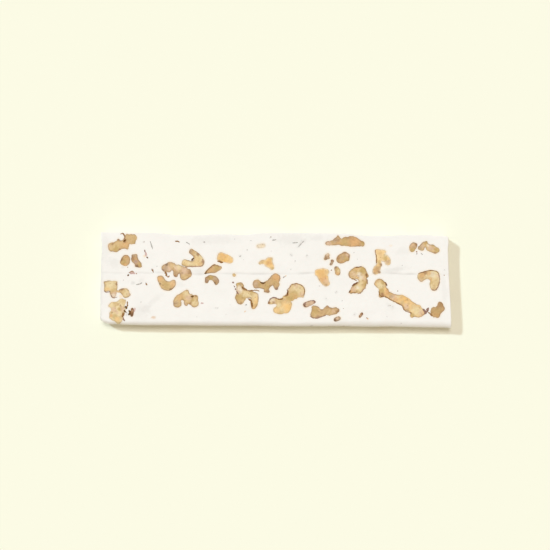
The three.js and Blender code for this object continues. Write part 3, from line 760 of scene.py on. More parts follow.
# %% Bites and bulges of the right half
NIBBLES |= {
    "great": [
        (-0.8, -11.6, 1, -0.4), (4, -8.6, 0.8, -0.3), (12.6, -5, 1, 0.2), (8.4, -7.4, 2.4, 1.2),
        (5, -13.8, 2.2, 1), (1.4, -14.8, 1.4, 0.3), (12, -7.6, 0.8, 0.3), (3.6, -7.8, 0.8, 0.5),
        (9.6, -7.2, 1.2, 0.4), (7, -9, 1.4, 0.6), (6.5, -10.4, 1.2, 0.4)],
    "ladle": [(-2.2, 9, 1.2, 0.6), (-7.2, 6.9, 0.9, 0.6)],
    "shield": [
        (18.2, 2.4, 1.9, 0.7), (17, 4.2, 0.9, 0.2), (20.4, 4.6, 1, 0.2), (23.5, 3.6, 0.8, 0.3),
        (23, -1.6, 1, 0.4), (22.3, 1.6, 1.5, 0.4)],
    "crumb": [(21.3, 9.2, 1, 0.4), (22.9, 9.6, 0.9, 0.5)],
    "oval": [(31.9, 11.2, 1.1, 0.3), (31.4, 8.9, 1, 0.4)],
    "long_far": [
        (26.9, 19.2, 0.7, 0.5), (24.4, 18, 1, -0.5), (28.4, 18.4, 1, -0.4), (37.9, 16.6, 1, 0.5),
        (37.9, 15.4, 1, 0.4)],
    "seahorse": [
        (34.9, 1.7, 1.9, 1.3), (33.2, 1.2, 1, 0.3), (39.7, 2, 1.2, 0.7), (36.1, 1, 1.2, 0.6),
        (38.6, -4.2, 1, -0.4)],
    "boot": [
        (15.4, -16.4, 0.9, 0.5), (20, -12.8, 0.9, -0.1), (22.6, -11.4, 0.8, 0.4), (15.4, -13, 0.8, 0.3),
        (18.4, -12.4, 1.3, 0.5), (16.2, -11.6, 0.9, 0.4), (19.4, -13.2, 1.2, 0.5), (15.3, -15.8, 1, 0.4)],
    "fork": [(43.6, 13.2, 1.2, 0.5), (47, 12.3, 1.5, 0.8), (46.6, 9.4, 1.4, 0.9), (45.4, 3.5, 0.9, 0.7)],
    "branch": [
        (56.8, -12, 1.8, 0.8), (46, -6.6, 1.1, 0.4), (43.4, -1.6, 1, 0.3), (48.6, -4.2, 1.4, 0.6),
        (64.6, -14, 1.2, 0.5), (62, -15.6, 2, 0.4), (62.6, -11.4, 1.4, 0.4), (56, -6.9, 2, 0.3)],
    "caramel": [
        (67.6, -13.6, 0.8, 0.5), (70, -11.6, 0.9, -0.4), (68.8, -11.8, 1, 0.3), (69.4, -15.4, 1.3, 0.5)],
    "round": [(59.4, 13.2, 1.6, 0.6), (61.5, 16.1, 0.8, 0.3)],
    "bridge": [
        (63.8, 14.2, 1.3, 0.6), (62.2, 14.4, 1, 0.7), (65.8, 17.2, 0.9, 0.5), (69.6, 12.4, 1.4, 0.4),
        (66.4, 14, 1.2, 0.4), (68.6, 15.6, 1.2, 0.4)],
    "hook_right": [(67.4, 1.3, 1.6, 1.1), (63.6, 0.2, 1.2, 0.5)],
}
print("shaped by eye:", len(NIBBLES), "pieces")

# %% [markdown]
# The outline at the cut grows by the half gap that the solids leave, and noise makes it ragged.
# It stops short of halfway to the next piece, so that two pieces never touch.

# %% Outline at the cut
RAGGED = 0.10
VERY_RAGGED = 0.24
RAGGED_PIECES = ("saddle", "cluster", "long_far", "caramel", "fork", "boot", "chip", "crumb", "sliver",
                 "strider", "wishbone", "twin", "block")
ROOM = 0.06
ALONE = 10.0


def lay_flat(loop):
    """Points of a plane as points in space."""
    return np.column_stack([loop, np.zeros(len(loop))])


def room_round(name):
    """Half the way from each point of an outline to the next piece on the same side."""
    outer = OUTLINES[name][0]
    others = [OUTLINES[other][0] for other in WALNUTS if other != name and side_of(other) == side_of(name)]
    if not others:
        return np.full(len(outer), ALONE)
    return distance_to(lay_flat(np.concatenate(others)), lay_flat(outer)) / 2 - ROOM


def cut_outline(name):
    """A piece's outline at the cut: grown, ragged, and with its own bites and bulges."""
    outer = OUTLINES[name][0]
    short = name.removeprefix("walnut_")
    seed = np.column_stack([outer, np.full(len(outer), 7.0 * WALNUTS.index(name))])
    rough_by = VERY_RAGGED if short in RAGGED_PIECES else RAGGED
    push = RIM_GROWTH + rough_by * (noise(seed, 1.3) + 0.6 * noise(seed, 0.55))
    for x, y, reach, depth in NIBBLES.get(short, []):
        away = np.linalg.norm(outer - EYE_SHIFT - (x, y), axis=1) / reach
        push += depth * np.clip(1 - away ** 2, 0, 1) ** 2
    return grow(outer, np.minimum(push, room_round(name)))


CUT_OUTLINES = {name: cut_outline(name) for name in WALNUTS}
print("cut outlines:", len(CUT_OUTLINES), "of which very ragged:", len(RAGGED_PIECES))

# %% [markdown]
# A piece is lofted between its two outlines, and stands a little proud of the face. A piece that
# runs through the slice stands proud on both faces.

# %% Rough pieces
PROUD = 1.0
STRAIGHT = 1.6
THROUGH_LIMIT = 1.0


def rough_piece(name):
    """The lofted solid of a piece before the cut: points in millimetres and faces."""
    _, hidden, high, low = OUTLINES[name]
    outer = CUT_OUTLINES[name]
    levels = [(outer, high + PROUD), (outer, high - STRAIGHT)]
    if side_of(name) == "above" and low < THROUGH_LIMIT:
        levels += [(hidden, low + STRAIGHT), (hidden, low - PROUD)]
    else:
        levels.append((hidden, low))
    rings = np.concatenate([np.column_stack([ring, np.full(len(ring), z)]) for ring, z in levels])
    return rings @ np.array(VIEWS[side_of(name)], float), tube_faces(len(outer), len(levels))


rough = add_object("walnuts_rough", *join(rough_piece(name) for name in WALNUTS))
print("rough pieces:", len(rough.data.polygons), "faces")

# %% [markdown]
# Two Booleans do the knife's work. The block minus the pieces leaves the pockets. The pieces cut
# to the block end exactly in its wavy surface, so nut and nougat share one cut face.

# %% Cut the pieces and the pockets
def cut(name, first, operation, second):
    """A new object: the first object less the second, or what both share."""
    modifier = first.modifiers.new("cut", "BOOLEAN")
    modifier.operation = operation
    modifier.solver = "MANIFOLD"
    modifier.object = second
    bpy.context.view_layer.update()
    finished = first.evaluated_get(bpy.context.evaluated_depsgraph_get())
    made = bpy.data.objects.new(name, bpy.data.meshes.new_from_object(finished))
    first.modifiers.remove(modifier)
    return made


nougat = cut("nougat_fine", block, "DIFFERENCE", rough)
walnut_cut = cut("walnut_cut", rough, "INTERSECT", block)
for thing in (nougat, walnut_cut):
    bpy.context.scene.collection.objects.link(thing)
for thing in (block, rough):
    bpy.data.objects.remove(thing)
print(f"cut: {len(nougat.data.polygons)} faces of nougat, {len(walnut_cut.data.polygons)} of walnut")

# %% [markdown]
# The cut left all walnut pieces in one mesh. Blender separates the loose parts, and each part
# belongs to the frame node whose box has the same middle.

# %% One object for each piece
def box_middle(points):
    """The middle of the box round some points."""
    return (np.min(points, axis=0) + np.max(points, axis=0)) / 2


bpy.ops.object.select_all(action="DESELECT")
walnut_cut.select_set(True)
bpy.context.view_layer.objects.active = walnut_cut
bpy.ops.mesh.separate(type="LOOSE")
parts = list(bpy.context.selected_objects)
centres = {name: box_middle(solids[name][0]) for name in WALNUTS}
walnuts = {}
for part in parts:
    middle = box_middle(points_of(part))
    name = min(centres, key=lambda key: np.linalg.norm(centres[key] - middle))
    walnuts[name] = part
    part.name = name + "_fine"
print(f"{len(parts)} parts for {len(walnuts)} of {len(WALNUTS)} pieces")

# %% [markdown]
# Now the cut faces of the walnut get finer. The Boolean left them with the squares of the
# block. We split their longer edges until the points lie close enough for a mealy surface and
# for painting, and measure how far each point is from the rim of its piece.

# %% Finer cut faces
FINE_EDGE = 0.34
FINE_ROUNDS = 3
ON_FACE = 0.02
block_surface = BVHTree.FromPolygons(block_points.tolist(), block_squares.tolist())
RIM_POINTS = []


def tag_cut(verts):
    """Tag the points that lie on the block's own surface, which are those of the cut face."""
    for vert in verts:
        vert.tag = block_surface.find_nearest(Vector(vert.co) / MM)[3] < ON_FACE


def cut_faces_of(shape):
    """The faces whose points are all tagged."""
    return {face for face in shape.faces if all(vert.tag for vert in face.verts)}


def refine_cut_face(part):
    """Split the cut face into small triangles. Returns its tags, rim distances and normals."""
    shape = bmesh.new()
    shape.from_mesh(part.data)
    bmesh.ops.triangulate(shape, faces=shape.faces)
    tag_cut(shape.verts)
    for _ in range(FINE_ROUNDS):
        cut_faces = cut_faces_of(shape)
        edges = [edge for edge in shape.edges if edge.calc_length() > FINE_EDGE * MM
                 and any(face in cut_faces for face in edge.link_faces)]
        if not edges:
            break
        made = bmesh.ops.subdivide_edges(shape, edges=edges, cuts=1)
        bmesh.ops.triangulate(shape, faces=[face for face in shape.faces if len(face.verts) > 3])
        tag_cut(thing for thing in made["geom_inner"] if isinstance(thing, bmesh.types.BMVert))
    cut_faces = cut_faces_of(shape)
    rim_edges = [edge for edge in shape.edges if sum(face in cut_faces for face in edge.link_faces) == 1]
    rim = dict.fromkeys(vert for edge in rim_edges for vert in edge.verts)
    rim_places = [Vector(vert.co) / MM for vert in rim]
    RIM_POINTS.extend(rim_places)
    on_face = np.array([vert.tag for vert in shape.verts])
    normals = np.array([vert.normal[:] for vert in shape.verts])
    from_rim = distance_to(rim_places, [Vector(vert.co) / MM for vert in shape.verts])
    shape.to_mesh(part.data)
    shape.free()
    return on_face, from_rim, normals


measures = {name: refine_cut_face(part) for name, part in walnuts.items()}
print("points on walnut:", sum(len(part.data.vertices) for part in walnuts.values()))

# %% [markdown]
# A walnut isn't one colour. The kernel is pale gold to honey, oily patches are darker, and the
# thin skin is brown. Where the paste has smeared over a piece, its edge fades to white. We name
# these tones once, as they look on the screen. A rim is a tone, how far it reaches in from the
# edge, and its strength.

# %% Tones
TONES = {
    "tan": (212, 176, 124),
    "gold": (226, 194, 138),
    "pale": (240, 218, 168),
    "honey": (247, 208, 144),
    "amber": (243, 194, 114),
    "orange": (230, 180, 120),
    "oily": (206, 174, 108),
    "grey": (194, 166, 134),
    "taupe": (164, 128, 100),
    "brown": (164, 118, 76),
    "umber": (96, 60, 6),
    "bark": (142, 100, 52),
    "rosy": (230, 196, 162),
    "mauve": (200, 168, 158),
    "plum": (138, 104, 88),
    "skin": (112, 68, 30),
    "veil": (247, 233, 208),
    "paste": (249, 245, 237),
    "shade": (232, 228, 220),
    "dusk": (205, 200, 192),
    "ash": (172, 166, 156),
    "stain": (250, 226, 190),
}
BASES = {"walnut_tan": "tan", "walnut_pale": "pale", "walnut_honey": "honey", "walnut_brown": "brown"}
TONE_COLORS = {name: np.array(seen(*levels)[:3]) for name, levels in TONES.items()}
SOFT_RIM = ("veil", 0.45, 0.6)
BROWN_RIM = ("brown", 0.45, 0.7)
DARK_RIM = ("skin", 0.35, 0.6)
GREY_RIM = ("taupe", 0.4, 0.75)
FAINT_RIM = ("tan", 0.4, 0.5)
THIN_RIM = ("brown", 0.35, 0.5)
print(len(TONES), "tones")

# %% [markdown]
# Now we paint each piece with soft dabs, as a painter would. A dab is a tone, a place, a size
# and a strength. Places on the slice are in millimetres from its middle, as read from the
# photograph. Each piece has its base tone, its rim, and its dabs in the order they go on.

# %% Painting of the left third
PAINTING = {
    "saddle": ("gold", BROWN_RIM, [
        ("tan", -64, 17.2, 3.4, 0.5), ("orange", -66.3, 14.4, 2.4, 0.6), ("oily", -70, 12.4, 1.8, 0.9),
        ("brown", -71.8, 14.7, 0.8, 0.7), ("brown", -69.2, 17, 1, 0.9), ("brown", -62, 19.2, 0.9, 0.6),
        ("rosy", -73.4, 13.8, 1.5, 0.5), ("brown", -68.4, 12.2, 0.8, 0.9), ("rosy", -67.2, 12.1, 0.7, 0.7),
        ("oily", -62.4, 15.8, 1.2, 0.5), ("paste", -67.7, 17.7, 1.3, 1), ("brown", -66.4, 16.2, 0.9, 0.9)]),
    "egg": ("tan", BROWN_RIM, [
        ("orange", -65.7, 9.2, 1.3, 0.6), ("oily", -66.8, 7.3, 2, 0.7), ("brown", -67.8, 8, 0.9, 0.9),
        ("orange", -66, 5.4, 1.4, 0.5)]),
    "peg": ("tan", GREY_RIM, [
        ("grey", -62.2, 9.8, 1.4, 0.6), ("brown", -62.6, 8.5, 1.3, 0.7), ("mauve", -61.4, 7.3, 1.2, 0.7),
        ("taupe", -60.8, 5.3, 1.2, 0.8), ("umber", -60.9, 5, 0.8, 0.6), ("oily", -59.6, 5.8, 1, 0.9),
        ("orange", -61.9, 8.6, 0.9, 0.4)]),
    "block": ("gold", GREY_RIM, [
        ("pale", -72.4, -3, 3.2, 1), ("honey", -73.8, -5.2, 1.5, 0.6), ("brown", -69.6, -2.8, 0.9, 0.8),
        ("rosy", -70.8, -7.4, 2, 0.9), ("veil", -70.8, -7.8, 1.2, 0.6), ("oily", -71.2, -5.4, 1.2, 0.5)]),
    "diamond": ("gold", GREY_RIM, [
        ("brown", -67.5, -4.8, 1.1, 0.9), ("pale", -65.4, -6.8, 1.7, 0.9), ("rosy", -64.2, -7.1, 1, 0.6),
        ("tan", -68.6, -6.2, 1.1, 0.8)]),
    "cluster": ("pale", FAINT_RIM, [
        ("gold", -66.9, -10.2, 1.6, 0.8), ("gold", -70.2, -11.6, 1.4, 0.9), ("rosy", -71, -13.9, 1.6, 0.9),
        ("rosy", -67, -13.6, 1.5, 0.9), ("oily", -68.5, -13.8, 1.1, 1), ("tan", -69, -11.6, 0.8, 0.7),
        ("rosy", -69.4, -15.3, 1.2, 0.7), ("oily", -70.4, -16.9, 1.8, 0.7), ("honey", -69.3, -18.2, 1.4, 1),
        ("tan", -67.6, -16.9, 1.2, 0.6), ("orange", -72, -16.6, 1.2, 0.9),
        ("brown", -66.6, -15.7, 1.1, 0.7), ("brown", -68, -12.1, 0.6, 0.7),
        ("brown", -71.6, -15.2, 0.6, 0.6)]),
    "bead": ("brown", GREY_RIM, [
        ("rosy", -62.8, -14.4, 0.6, 0.4), ("skin", -62.5, -13.5, 0.7, 0.5),
        ("umber", -63.1, -16.2, 1, 0.8)]),
    "twin": ("tan", GREY_RIM, [
        ("rosy", -47.4, 4.6, 2.8, 0.9), ("grey", -48.6, 4.2, 1.8, 0.7), ("umber", -47.9, 6.1, 0.8, 0.7),
        ("taupe", -49.6, 3.4, 1, 0.8), ("gold", -45.8, 5.4, 1.6, 0.7), ("pale", -42.8, 5, 2.4, 1),
        ("rosy", -43.8, 4.2, 1.4, 0.7), ("grey", -43.6, 2.4, 1.2, 0.4), ("brown", -44.1, 1, 0.9, 0.8),
        ("rosy", -40.2, 3.4, 2.4, 0.9), ("brown", -37.7, 2.6, 1.2, 0.5), ("gold", -40.2, 0.6, 1.7, 0.7),
        ("brown", -42.6, 1.8, 0.9, 0.5), ("umber", -45.6, 3, 0.6, 0.7), ("taupe", -41.2, 2.4, 0.7, 0.5)]),
    "crescent": ("gold", GREY_RIM, [
        ("orange", -50.8, -0.2, 1.8, 0.8), ("rosy", -44.8, -1.9, 2, 0.8), ("honey", -45.2, -2.2, 1.8, 0.6),
        ("orange", -45.4, -2.8, 1.2, 0.5), ("oily", -48.2, -3, 2.2, 0.7), ("umber", -50.7, -2.4, 0.7, 0.7),
        ("umber", -46, -5, 0.7, 0.7), ("tan", -49.6, -3.6, 1, 0.5)]),
    "hook_left": ("pale", BROWN_RIM, [
        ("honey", -35, 8, 2.8, 0.5), ("oily", -34, 8.6, 1.2, 0.2), ("orange", -33, 6.4, 1.4, 0.5),
        ("honey", -40, 6.6, 2, 0.4), ("oily", -40.4, 5.6, 1.4, 0.4), ("tan", -36.9, 11.6, 2.2, 1),
        ("grey", -37.6, 12, 1.3, 0.7), ("brown", -34.4, 10.6, 1, 0.8), ("brown", -32.1, 7.4, 0.9, 0.7),
        ("tan", -36, 9.6, 0.9, 0.8)]),
    "leaf": ("tan", GREY_RIM, [
        ("oily", -26.2, 4.9, 1.9, 0.8), ("orange", -28.6, 3.4, 1.8, 0.4), ("umber", -30.9, 2.4, 0.7, 1),
        ("brown", -28.6, 5.2, 0.9, 0.7), ("brown", -27.2, 5.9, 0.8, 0.6)]),
    "arch": ("tan", GREY_RIM, [
        ("oily", -28.6, 0.6, 1.8, 1), ("grey", -26.6, 0.2, 1.5, 0.8), ("taupe", -30.6, -0.8, 1.4, 0.8),
        ("bark", -29.6, 0.6, 0.9, 0.5), ("mauve", -25.6, -1, 1, 0.3), ("umber", -26.9, -2, 0.7, 0.95),
        ("bark", -26.2, -1.2, 1.1, 0.3)]),
    "wishbone": ("gold", BROWN_RIM, [
        ("orange", -41.8, -8.6, 2, 0.5), ("rosy", -38.4, -8.3, 2, 0.8), ("pale", -39.2, -6.6, 1.6, 0.7),
        ("grey", -43.8, -11.2, 1.6, 0.6), ("taupe", -44.8, -11, 0.8, 0.8), ("rosy", -39.6, -11.2, 1, 0.7),
        ("pale", -35.4, -10.6, 2, 0.7), ("oily", -36.4, -9.4, 1, 0.8), ("brown", -37.4, -11, 0.8, 0.7),
        ("brown", -35, -7.6, 0.9, 0.8), ("oily", -41, -9, 1, 0.7), ("oily", -34.4, -9.4, 0.8, 0.5),
        ("umber", -36.5, -7.8, 0.6, 0.8)]),
}
print("painted:", *PAINTING)

# %% [markdown]
# The middle of the slice holds the largest piece, a kernel cut through both of its lobes. Its
# lower lobe lies just under a film of paste, so it is paler and its rim is soft.

# %% Painting of the middle third
PAINTING |= {
    "slipper": ("amber", SOFT_RIM, [
        ("honey", -24.6, 9.4, 2, 0.5), ("amber", -21, 8.6, 2.6, 0.8), ("oily", -24.8, 10.8, 1, 0.3),
        ("orange", -23.4, 10.4, 1.8, 0.4), ("brown", -25, 7.7, 0.8, 0.7), ("honey", -20.4, 8.6, 2, 0.8)]),
    "dot": ("gold", FAINT_RIM, [("orange", -18.2, 1.8, 0.7, 0.4), ("oily", -18.2, 2.4, 0.8, 0.7)]),
    "two_legged": ("gold", BROWN_RIM, [
        ("oily", -16.2, -2, 1.6, 1), ("grey", -15.6, -2.6, 1, 0.6), ("veil", -16.1, -4.5, 2, 1),
        ("rosy", -16.4, -5.4, 1, 0.6), ("tan", -16, -9, 2.4, 0.6), ("oily", -16.4, -8, 1.6, 0.9),
        ("oily", -14.2, -8, 1.2, 0.8), ("pale", -13.4, -6.4, 1.8, 0.7), ("pale", -11.5, -7.2, 2, 0.8),
        ("oily", -10.4, -6.2, 1.2, 0.7), ("pale", -8.8, -8.2, 2.4, 1), ("honey", -8.6, -10, 1.6, 0.7),
        ("orange", -9.8, -12.2, 1.3, 0.6), ("brown", -10.9, -9.8, 0.8, 0.9),
        ("brown", -10.5, -11.4, 0.6, 0.6), ("brown", -14.2, -4, 0.9, 0.8),
        ("brown", -15.2, -10.6, 0.8, 0.6), ("veil", -7.6, -7, 1, 0.5), ("honey", -8.6, -8.8, 2, 0.6)]),
    "strider": ("tan", GREY_RIM, [
        ("rosy", -8.8, -1.8, 1.6, 0.5), ("grey", -8.4, -2.6, 1.8, 0.5), ("oily", -7, -2.6, 1.4, 0.6),
        ("orange", 0.2, 0.8, 2.6, 0.8), ("oily", -0.6, -1.2, 1.6, 0.5), ("oily", -3.8, -3, 2, 0.7),
        ("brown", -4, -5.4, 1.1, 0.6), ("taupe", 0.2, -4, 1, 0.9), ("umber", -3.2, -5.7, 0.5, 0.6),
        ("brown", -2.6, -2.8, 0.7, 0.5), ("umber", -5.8, -1.8, 0.7, 0.8)]),
    "great": ("gold", FAINT_RIM, [
        ("pale", 9.2, -4.2, 3.4, 0.9), ("rosy", 8.8, -2.4, 1.6, 0.6), ("rosy", 11.4, -6.6, 1.4, 0.7),
        ("oily", 8, -6.4, 2.4, 0.8), ("oily", 5.6, -8, 1.9, 1), ("orange", 8, -7.8, 1.6, 0.8),
        ("orange", 5.8, -6.9, 0.8, 0.7), ("tan", 3.8, -9.4, 1.4, 0.7), ("oily", 2.4, -9.8, 1.2, 0.5),
        ("honey", 4.4, -12.4, 3.6, 1), ("pale", 1.2, -11.2, 1.4, 0.9), ("amber", 5.4, -12.2, 1.8, 0.6),
        ("pale", 2.8, -13.4, 1.4, 0.6), ("honey", 0.4, -13.6, 1.8, 0.8), ("oily", 2.6, -14.6, 1.4, 0.4),
        ("veil", -1.4, -9, 1.5, 0.6), ("rosy", -0.6, -9.8, 0.9, 0.7), ("oily", 6.8, -7.9, 1.7, 0.85),
        ("brown", -1, -10.5, 0.9, 0.7), ("brown", -3, -10.4, 0.8, 0.9), ("brown", 4.6, -6.6, 0.9, 0.7),
        ("tan", 10.6, -3.6, 0.7, 0.4)]),
    "fleck": ("honey", SOFT_RIM, [("veil", -8.2, 14.6, 2, 0.8), ("veil", -5.4, 14.8, 1.6, 0.6)]),
    "ladle": ("honey", SOFT_RIM, [
        ("amber", -2.8, 7.6, 2.6, 0.8), ("orange", -3.2, 7.4, 1.4, 0.7), ("oily", -1.8, 8.9, 1.2, 0.6),
        ("tan", -6.2, 7.8, 1.3, 0.8), ("oily", -7.2, 6.8, 1, 0.6), ("oily", -1.4, 4.8, 1.1, 0.8),
        ("rosy", -4.4, 5.8, 0.8, 0.5)]),
    "shield": ("honey", SOFT_RIM, [
        ("amber", 19.2, 2.8, 3, 0.8), ("orange", 20.8, -0.1, 2.2, 1), ("rosy", 21.8, -0.9, 1.8, 0.6),
        ("orange", 20.2, 2.4, 2.6, 0.4), ("oily", 23, 3.6, 0.8, 0.6), ("tan", 22.2, 3.4, 1.3, 0.4),
        ("brown", 21.7, -2.3, 1, 0.7), ("tan", 21.2, -1.6, 1.3, 0.7)]),
    "crumb": ("grey", FAINT_RIM, [
        ("rosy", 22.6, 10.4, 1.4, 0.5), ("veil", 22.3, 12.1, 1.7, 1), ("rosy", 22.9, 11.2, 0.9, 0.7),
        ("bark", 21.8, 9.6, 1.1, 0.45), ("skin", 21.8, 9, 0.7, 0.5), ("brown", 23, 10.2, 0.8, 0.6)]),
    "chip": ("grey", GREY_RIM, [
        ("brown", 24.5, 8.6, 1, 0.8), ("mauve", 24.9, 8.6, 0.5, 0.5), ("grey", 23.7, 7.1, 0.9, 0.9)]),
    "comma": ("rosy", GREY_RIM, [
        ("grey", 14.6, -10.4, 1.8, 0.5), ("skin", 12.6, -11, 0.7, 0.8), ("brown", 17, -9.6, 0.7, 0.8),
        ("rosy", 15.4, -10.2, 1.2, 0.7)]),
    "boot": ("tan", GREY_RIM, [
        ("gold", 16.8, -15.4, 1.6, 0.6), ("oily", 17.4, -13.4, 2.4, 0.7), ("brown", 19.9, -13, 1, 0.6),
        ("rosy", 25.2, -13.8, 1.2, 0.5), ("brown", 27.4, -13.8, 1.3, 0.7), ("gold", 23.4, -14.4, 1.6, 0.6),
        ("taupe", 18.6, -16.7, 1.4, 0.7), ("brown", 22.6, -12, 0.9, 0.5),
        ("brown", 15.2, -16.4, 0.8, 0.7)]),
    "ring": ("grey", DARK_RIM, [("rosy", 27, -16.8, 0.8, 0.9), ("skin", 25.8, -17.7, 1, 0.8)]),
}
print("painted:", len(PAINTING), "pieces")

# %% [markdown]
# The right third has a long branching cut, and a curled one that is nearly all rim.

# %% Painting of the right third
PAINTING |= {
    "oval": ("tan", BROWN_RIM, [
        ("rosy", 31.2, 11.2, 1.4, 0.9), ("oily", 30.4, 9, 2, 0.7), ("grey", 29, 9.6, 1.6, 0.4),
        ("brown", 27.2, 9.6, 1.2, 0.6), ("orange", 29.2, 7.8, 1.2, 0.5), ("brown", 31.9, 10.4, 0.9, 0.6),
        ("brown", 29.8, 12, 0.9, 0.6)]),
    "bud": ("gold", BROWN_RIM, [
        ("oily", 26.9, 4.6, 1.2, 0.6), ("orange", 27, 3, 1.2, 0.7), ("pale", 27.4, 4, 0.9, 0.6),
        ("taupe", 26, 5.6, 0.9, 0.9)]),
    "long_far": ("tan", BROWN_RIM, [
        ("rosy", 22.8, 16.2, 2, 0.9), ("grey", 25.8, 17.6, 1.6, 0.7), ("oily", 30, 17, 2.6, 0.6),
        ("taupe", 27.2, 17.4, 0.9, 0.6), ("orange", 34, 16.8, 3, 0.9), ("orange", 27.4, 16.2, 1.6, 0.4),
        ("oily", 38, 16, 1.2, 0.9), ("brown", 36.6, 15.6, 1, 0.25), ("brown", 31.6, 18.9, 1.4, 0.4),
        ("oily", 29.6, 15, 1.6, 0.5)]),
    "seahorse": ("gold", BROWN_RIM, [
        ("oily", 37.8, 4.4, 2.1, 1), ("orange", 35.2, 4.9, 1.3, 0.5), ("oily", 34.6, 4, 1.6, 0.4),
        ("rosy", 33.6, 2.8, 1.8, 0.5), ("tan", 32.6, 2.6, 0.9, 0.5), ("veil", 36.6, 1.6, 2.1, 1),
        ("rosy", 35.2, 1.6, 1, 0.7), ("pale", 36.8, 0.4, 1.3, 0.6), ("rosy", 38.4, 0.8, 1.2, 0.6),
        ("oily", 39.2, -1.6, 1.3, 0.9), ("pale", 37, -1.4, 1.4, 0.8), ("brown", 39.6, 2.4, 0.9, 1),
        ("pale", 36, -3.2, 2.2, 1), ("veil", 35.8, -3.2, 1, 0.8), ("rosy", 33.8, -4, 1.5, 0.9),
        ("orange", 33, -5, 0.9, 0.7), ("brown", 35.2, 1.4, 0.5, 0.5), ("tan", 37.4, 2.4, 0.8, 0.7),
        ("brown", 35.4, -4.7, 0.6, 0.5)]),
    "fork": ("honey", SOFT_RIM, [
        ("pale", 45.2, 11.2, 3, 0.35), ("orange", 45.4, 11.8, 1.4, 0.3), ("pale", 48, 11.4, 1.4, 0.8),
        ("grey", 48.7, 8, 1.6, 0.6), ("oily", 47.8, 9.6, 1.3, 0.8), ("rosy", 48.8, 8.4, 0.9, 0.5),
        ("oily", 44.6, 7.8, 1.2, 0.6), ("brown", 46.1, 7, 1, 0.9), ("tan", 43.8, 4.4, 2.6, 1),
        ("brown", 44, 4.4, 1.6, 0.25), ("brown", 45.2, 3.8, 1, 0.8), ("orange", 43.4, 4.2, 1.4, 0.5),
        ("brown", 43.7, 9.4, 0.8, 0.8), ("brown", 42.8, 3, 0.9, 0.6)]),
    "branch": ("honey", BROWN_RIM, [
        ("tan", 44.6, -0.4, 2.2, 0.9), ("pale", 45.6, -2.2, 2.4, 1), ("oily", 46.8, -0.6, 1.4, 0.9),
        ("oily", 46.4, -4.6, 1.8, 0.9), ("brown", 46.6, -6.4, 1.3, 0.9), ("orange", 48.8, -5.2, 1.8, 0.9),
        ("tan", 50.4, -6.4, 1.3, 0.8), ("rosy", 52, -7.4, 2, 0.9), ("grey", 50.8, -7, 1, 0.6),
        ("orange", 52.6, -8.2, 1.4, 0.7), ("pale", 53.4, -6.9, 1.2, 0.7), ("amber", 56.4, -8.2, 2.2, 0.7),
        ("gold", 55.4, -9.8, 1.4, 0.8), ("rosy", 57.2, -11.4, 1.8, 0.8), ("oily", 57.6, -12.8, 1.2, 0.5),
        ("gold", 60.4, -11.4, 2, 0.7), ("pale", 61.8, -13.2, 3, 0.9), ("oily", 59.8, -15, 1.2, 0.9),
        ("rosy", 63.6, -14.2, 1.6, 0.7), ("tan", 58.2, -10, 0.9, 0.6), ("tan", 55.2, -7.2, 0.8, 0.5)]),
    "caramel": ("tan", BROWN_RIM, [
        ("brown", 70.8, -13, 4, 0.3), ("oily", 70.6, -13.6, 3, 0.5), ("brown", 72.4, -10.4, 1.6, 0.4),
        ("orange", 69.8, -14.6, 1.5, 0.4)]),
    "round": ("tan", GREY_RIM, [
        ("rosy", 59.6, 15.4, 1.6, 0.4), ("grey", 60.6, 14.4, 1.4, 0.6), ("oily", 59.6, 13.2, 1.5, 0.9),
        ("brown", 61.2, 16, 1, 0.8)]),
    "bridge": ("gold", GREY_RIM, [
        ("grey", 63, 14.8, 1.8, 0.7), ("rosy", 64, 15.2, 1.2, 0.5), ("oily", 65.6, 16.8, 1.4, 1),
        ("orange", 65, 16.4, 0.8, 0.4), ("rosy", 67.6, 14.6, 1.8, 0.9), ("oily", 68.4, 15.4, 1, 0.6),
        ("oily", 70.2, 13.6, 1.4, 0.9), ("brown", 69.4, 12.4, 1, 0.6), ("veil", 66.4, 15.6, 0.9, 0.7)]),
    "hook_right": ("pale", THIN_RIM, [
        ("tan", 63.8, 1.8, 2.4, 0.8), ("orange", 63.8, 2.6, 1.6, 0.6), ("brown", 65.4, 3.8, 1.2, 0.8),
        ("orange", 67, 3.4, 1.2, 0.6), ("rosy", 63.4, 0.2, 1, 0.6), ("veil", 68.6, 2.8, 1.6, 0.6),
        ("gold", 69.4, -0.8, 2.4, 0.6), ("rosy", 70.8, 2.4, 1.3, 0.6), ("orange", 67.6, 0.6, 1.3, 0.6),
        ("oily", 68, -0.6, 1, 0.5), ("tan", 69.4, -3, 1.3, 0.6)]),
    "sliver": ("brown", GREY_RIM, [
        ("orange", 36.9, -14.4, 0.9, 0.9), ("skin", 38, -14.6, 0.6, 0.9), ("rosy", 37.3, -15.6, 0.6, 0.6)]),
}
print("painted:", len(PAINTING), "pieces")

# %% [markdown]
# Colour goes onto the points of the mesh. Noise bends every dab, so that none looks round. A dab
# that is longer than wide, with a turn in degrees, is a stroke.

# %% One dab
BEND = 0.35
FINE_BEND = 0.2
DAB_EDGE = 1.7


def tint(color, tone, weight):
    """Move colours towards a tone, each by its own weight."""
    return color + (TONE_COLORS[tone] - color) * weight[:, None]


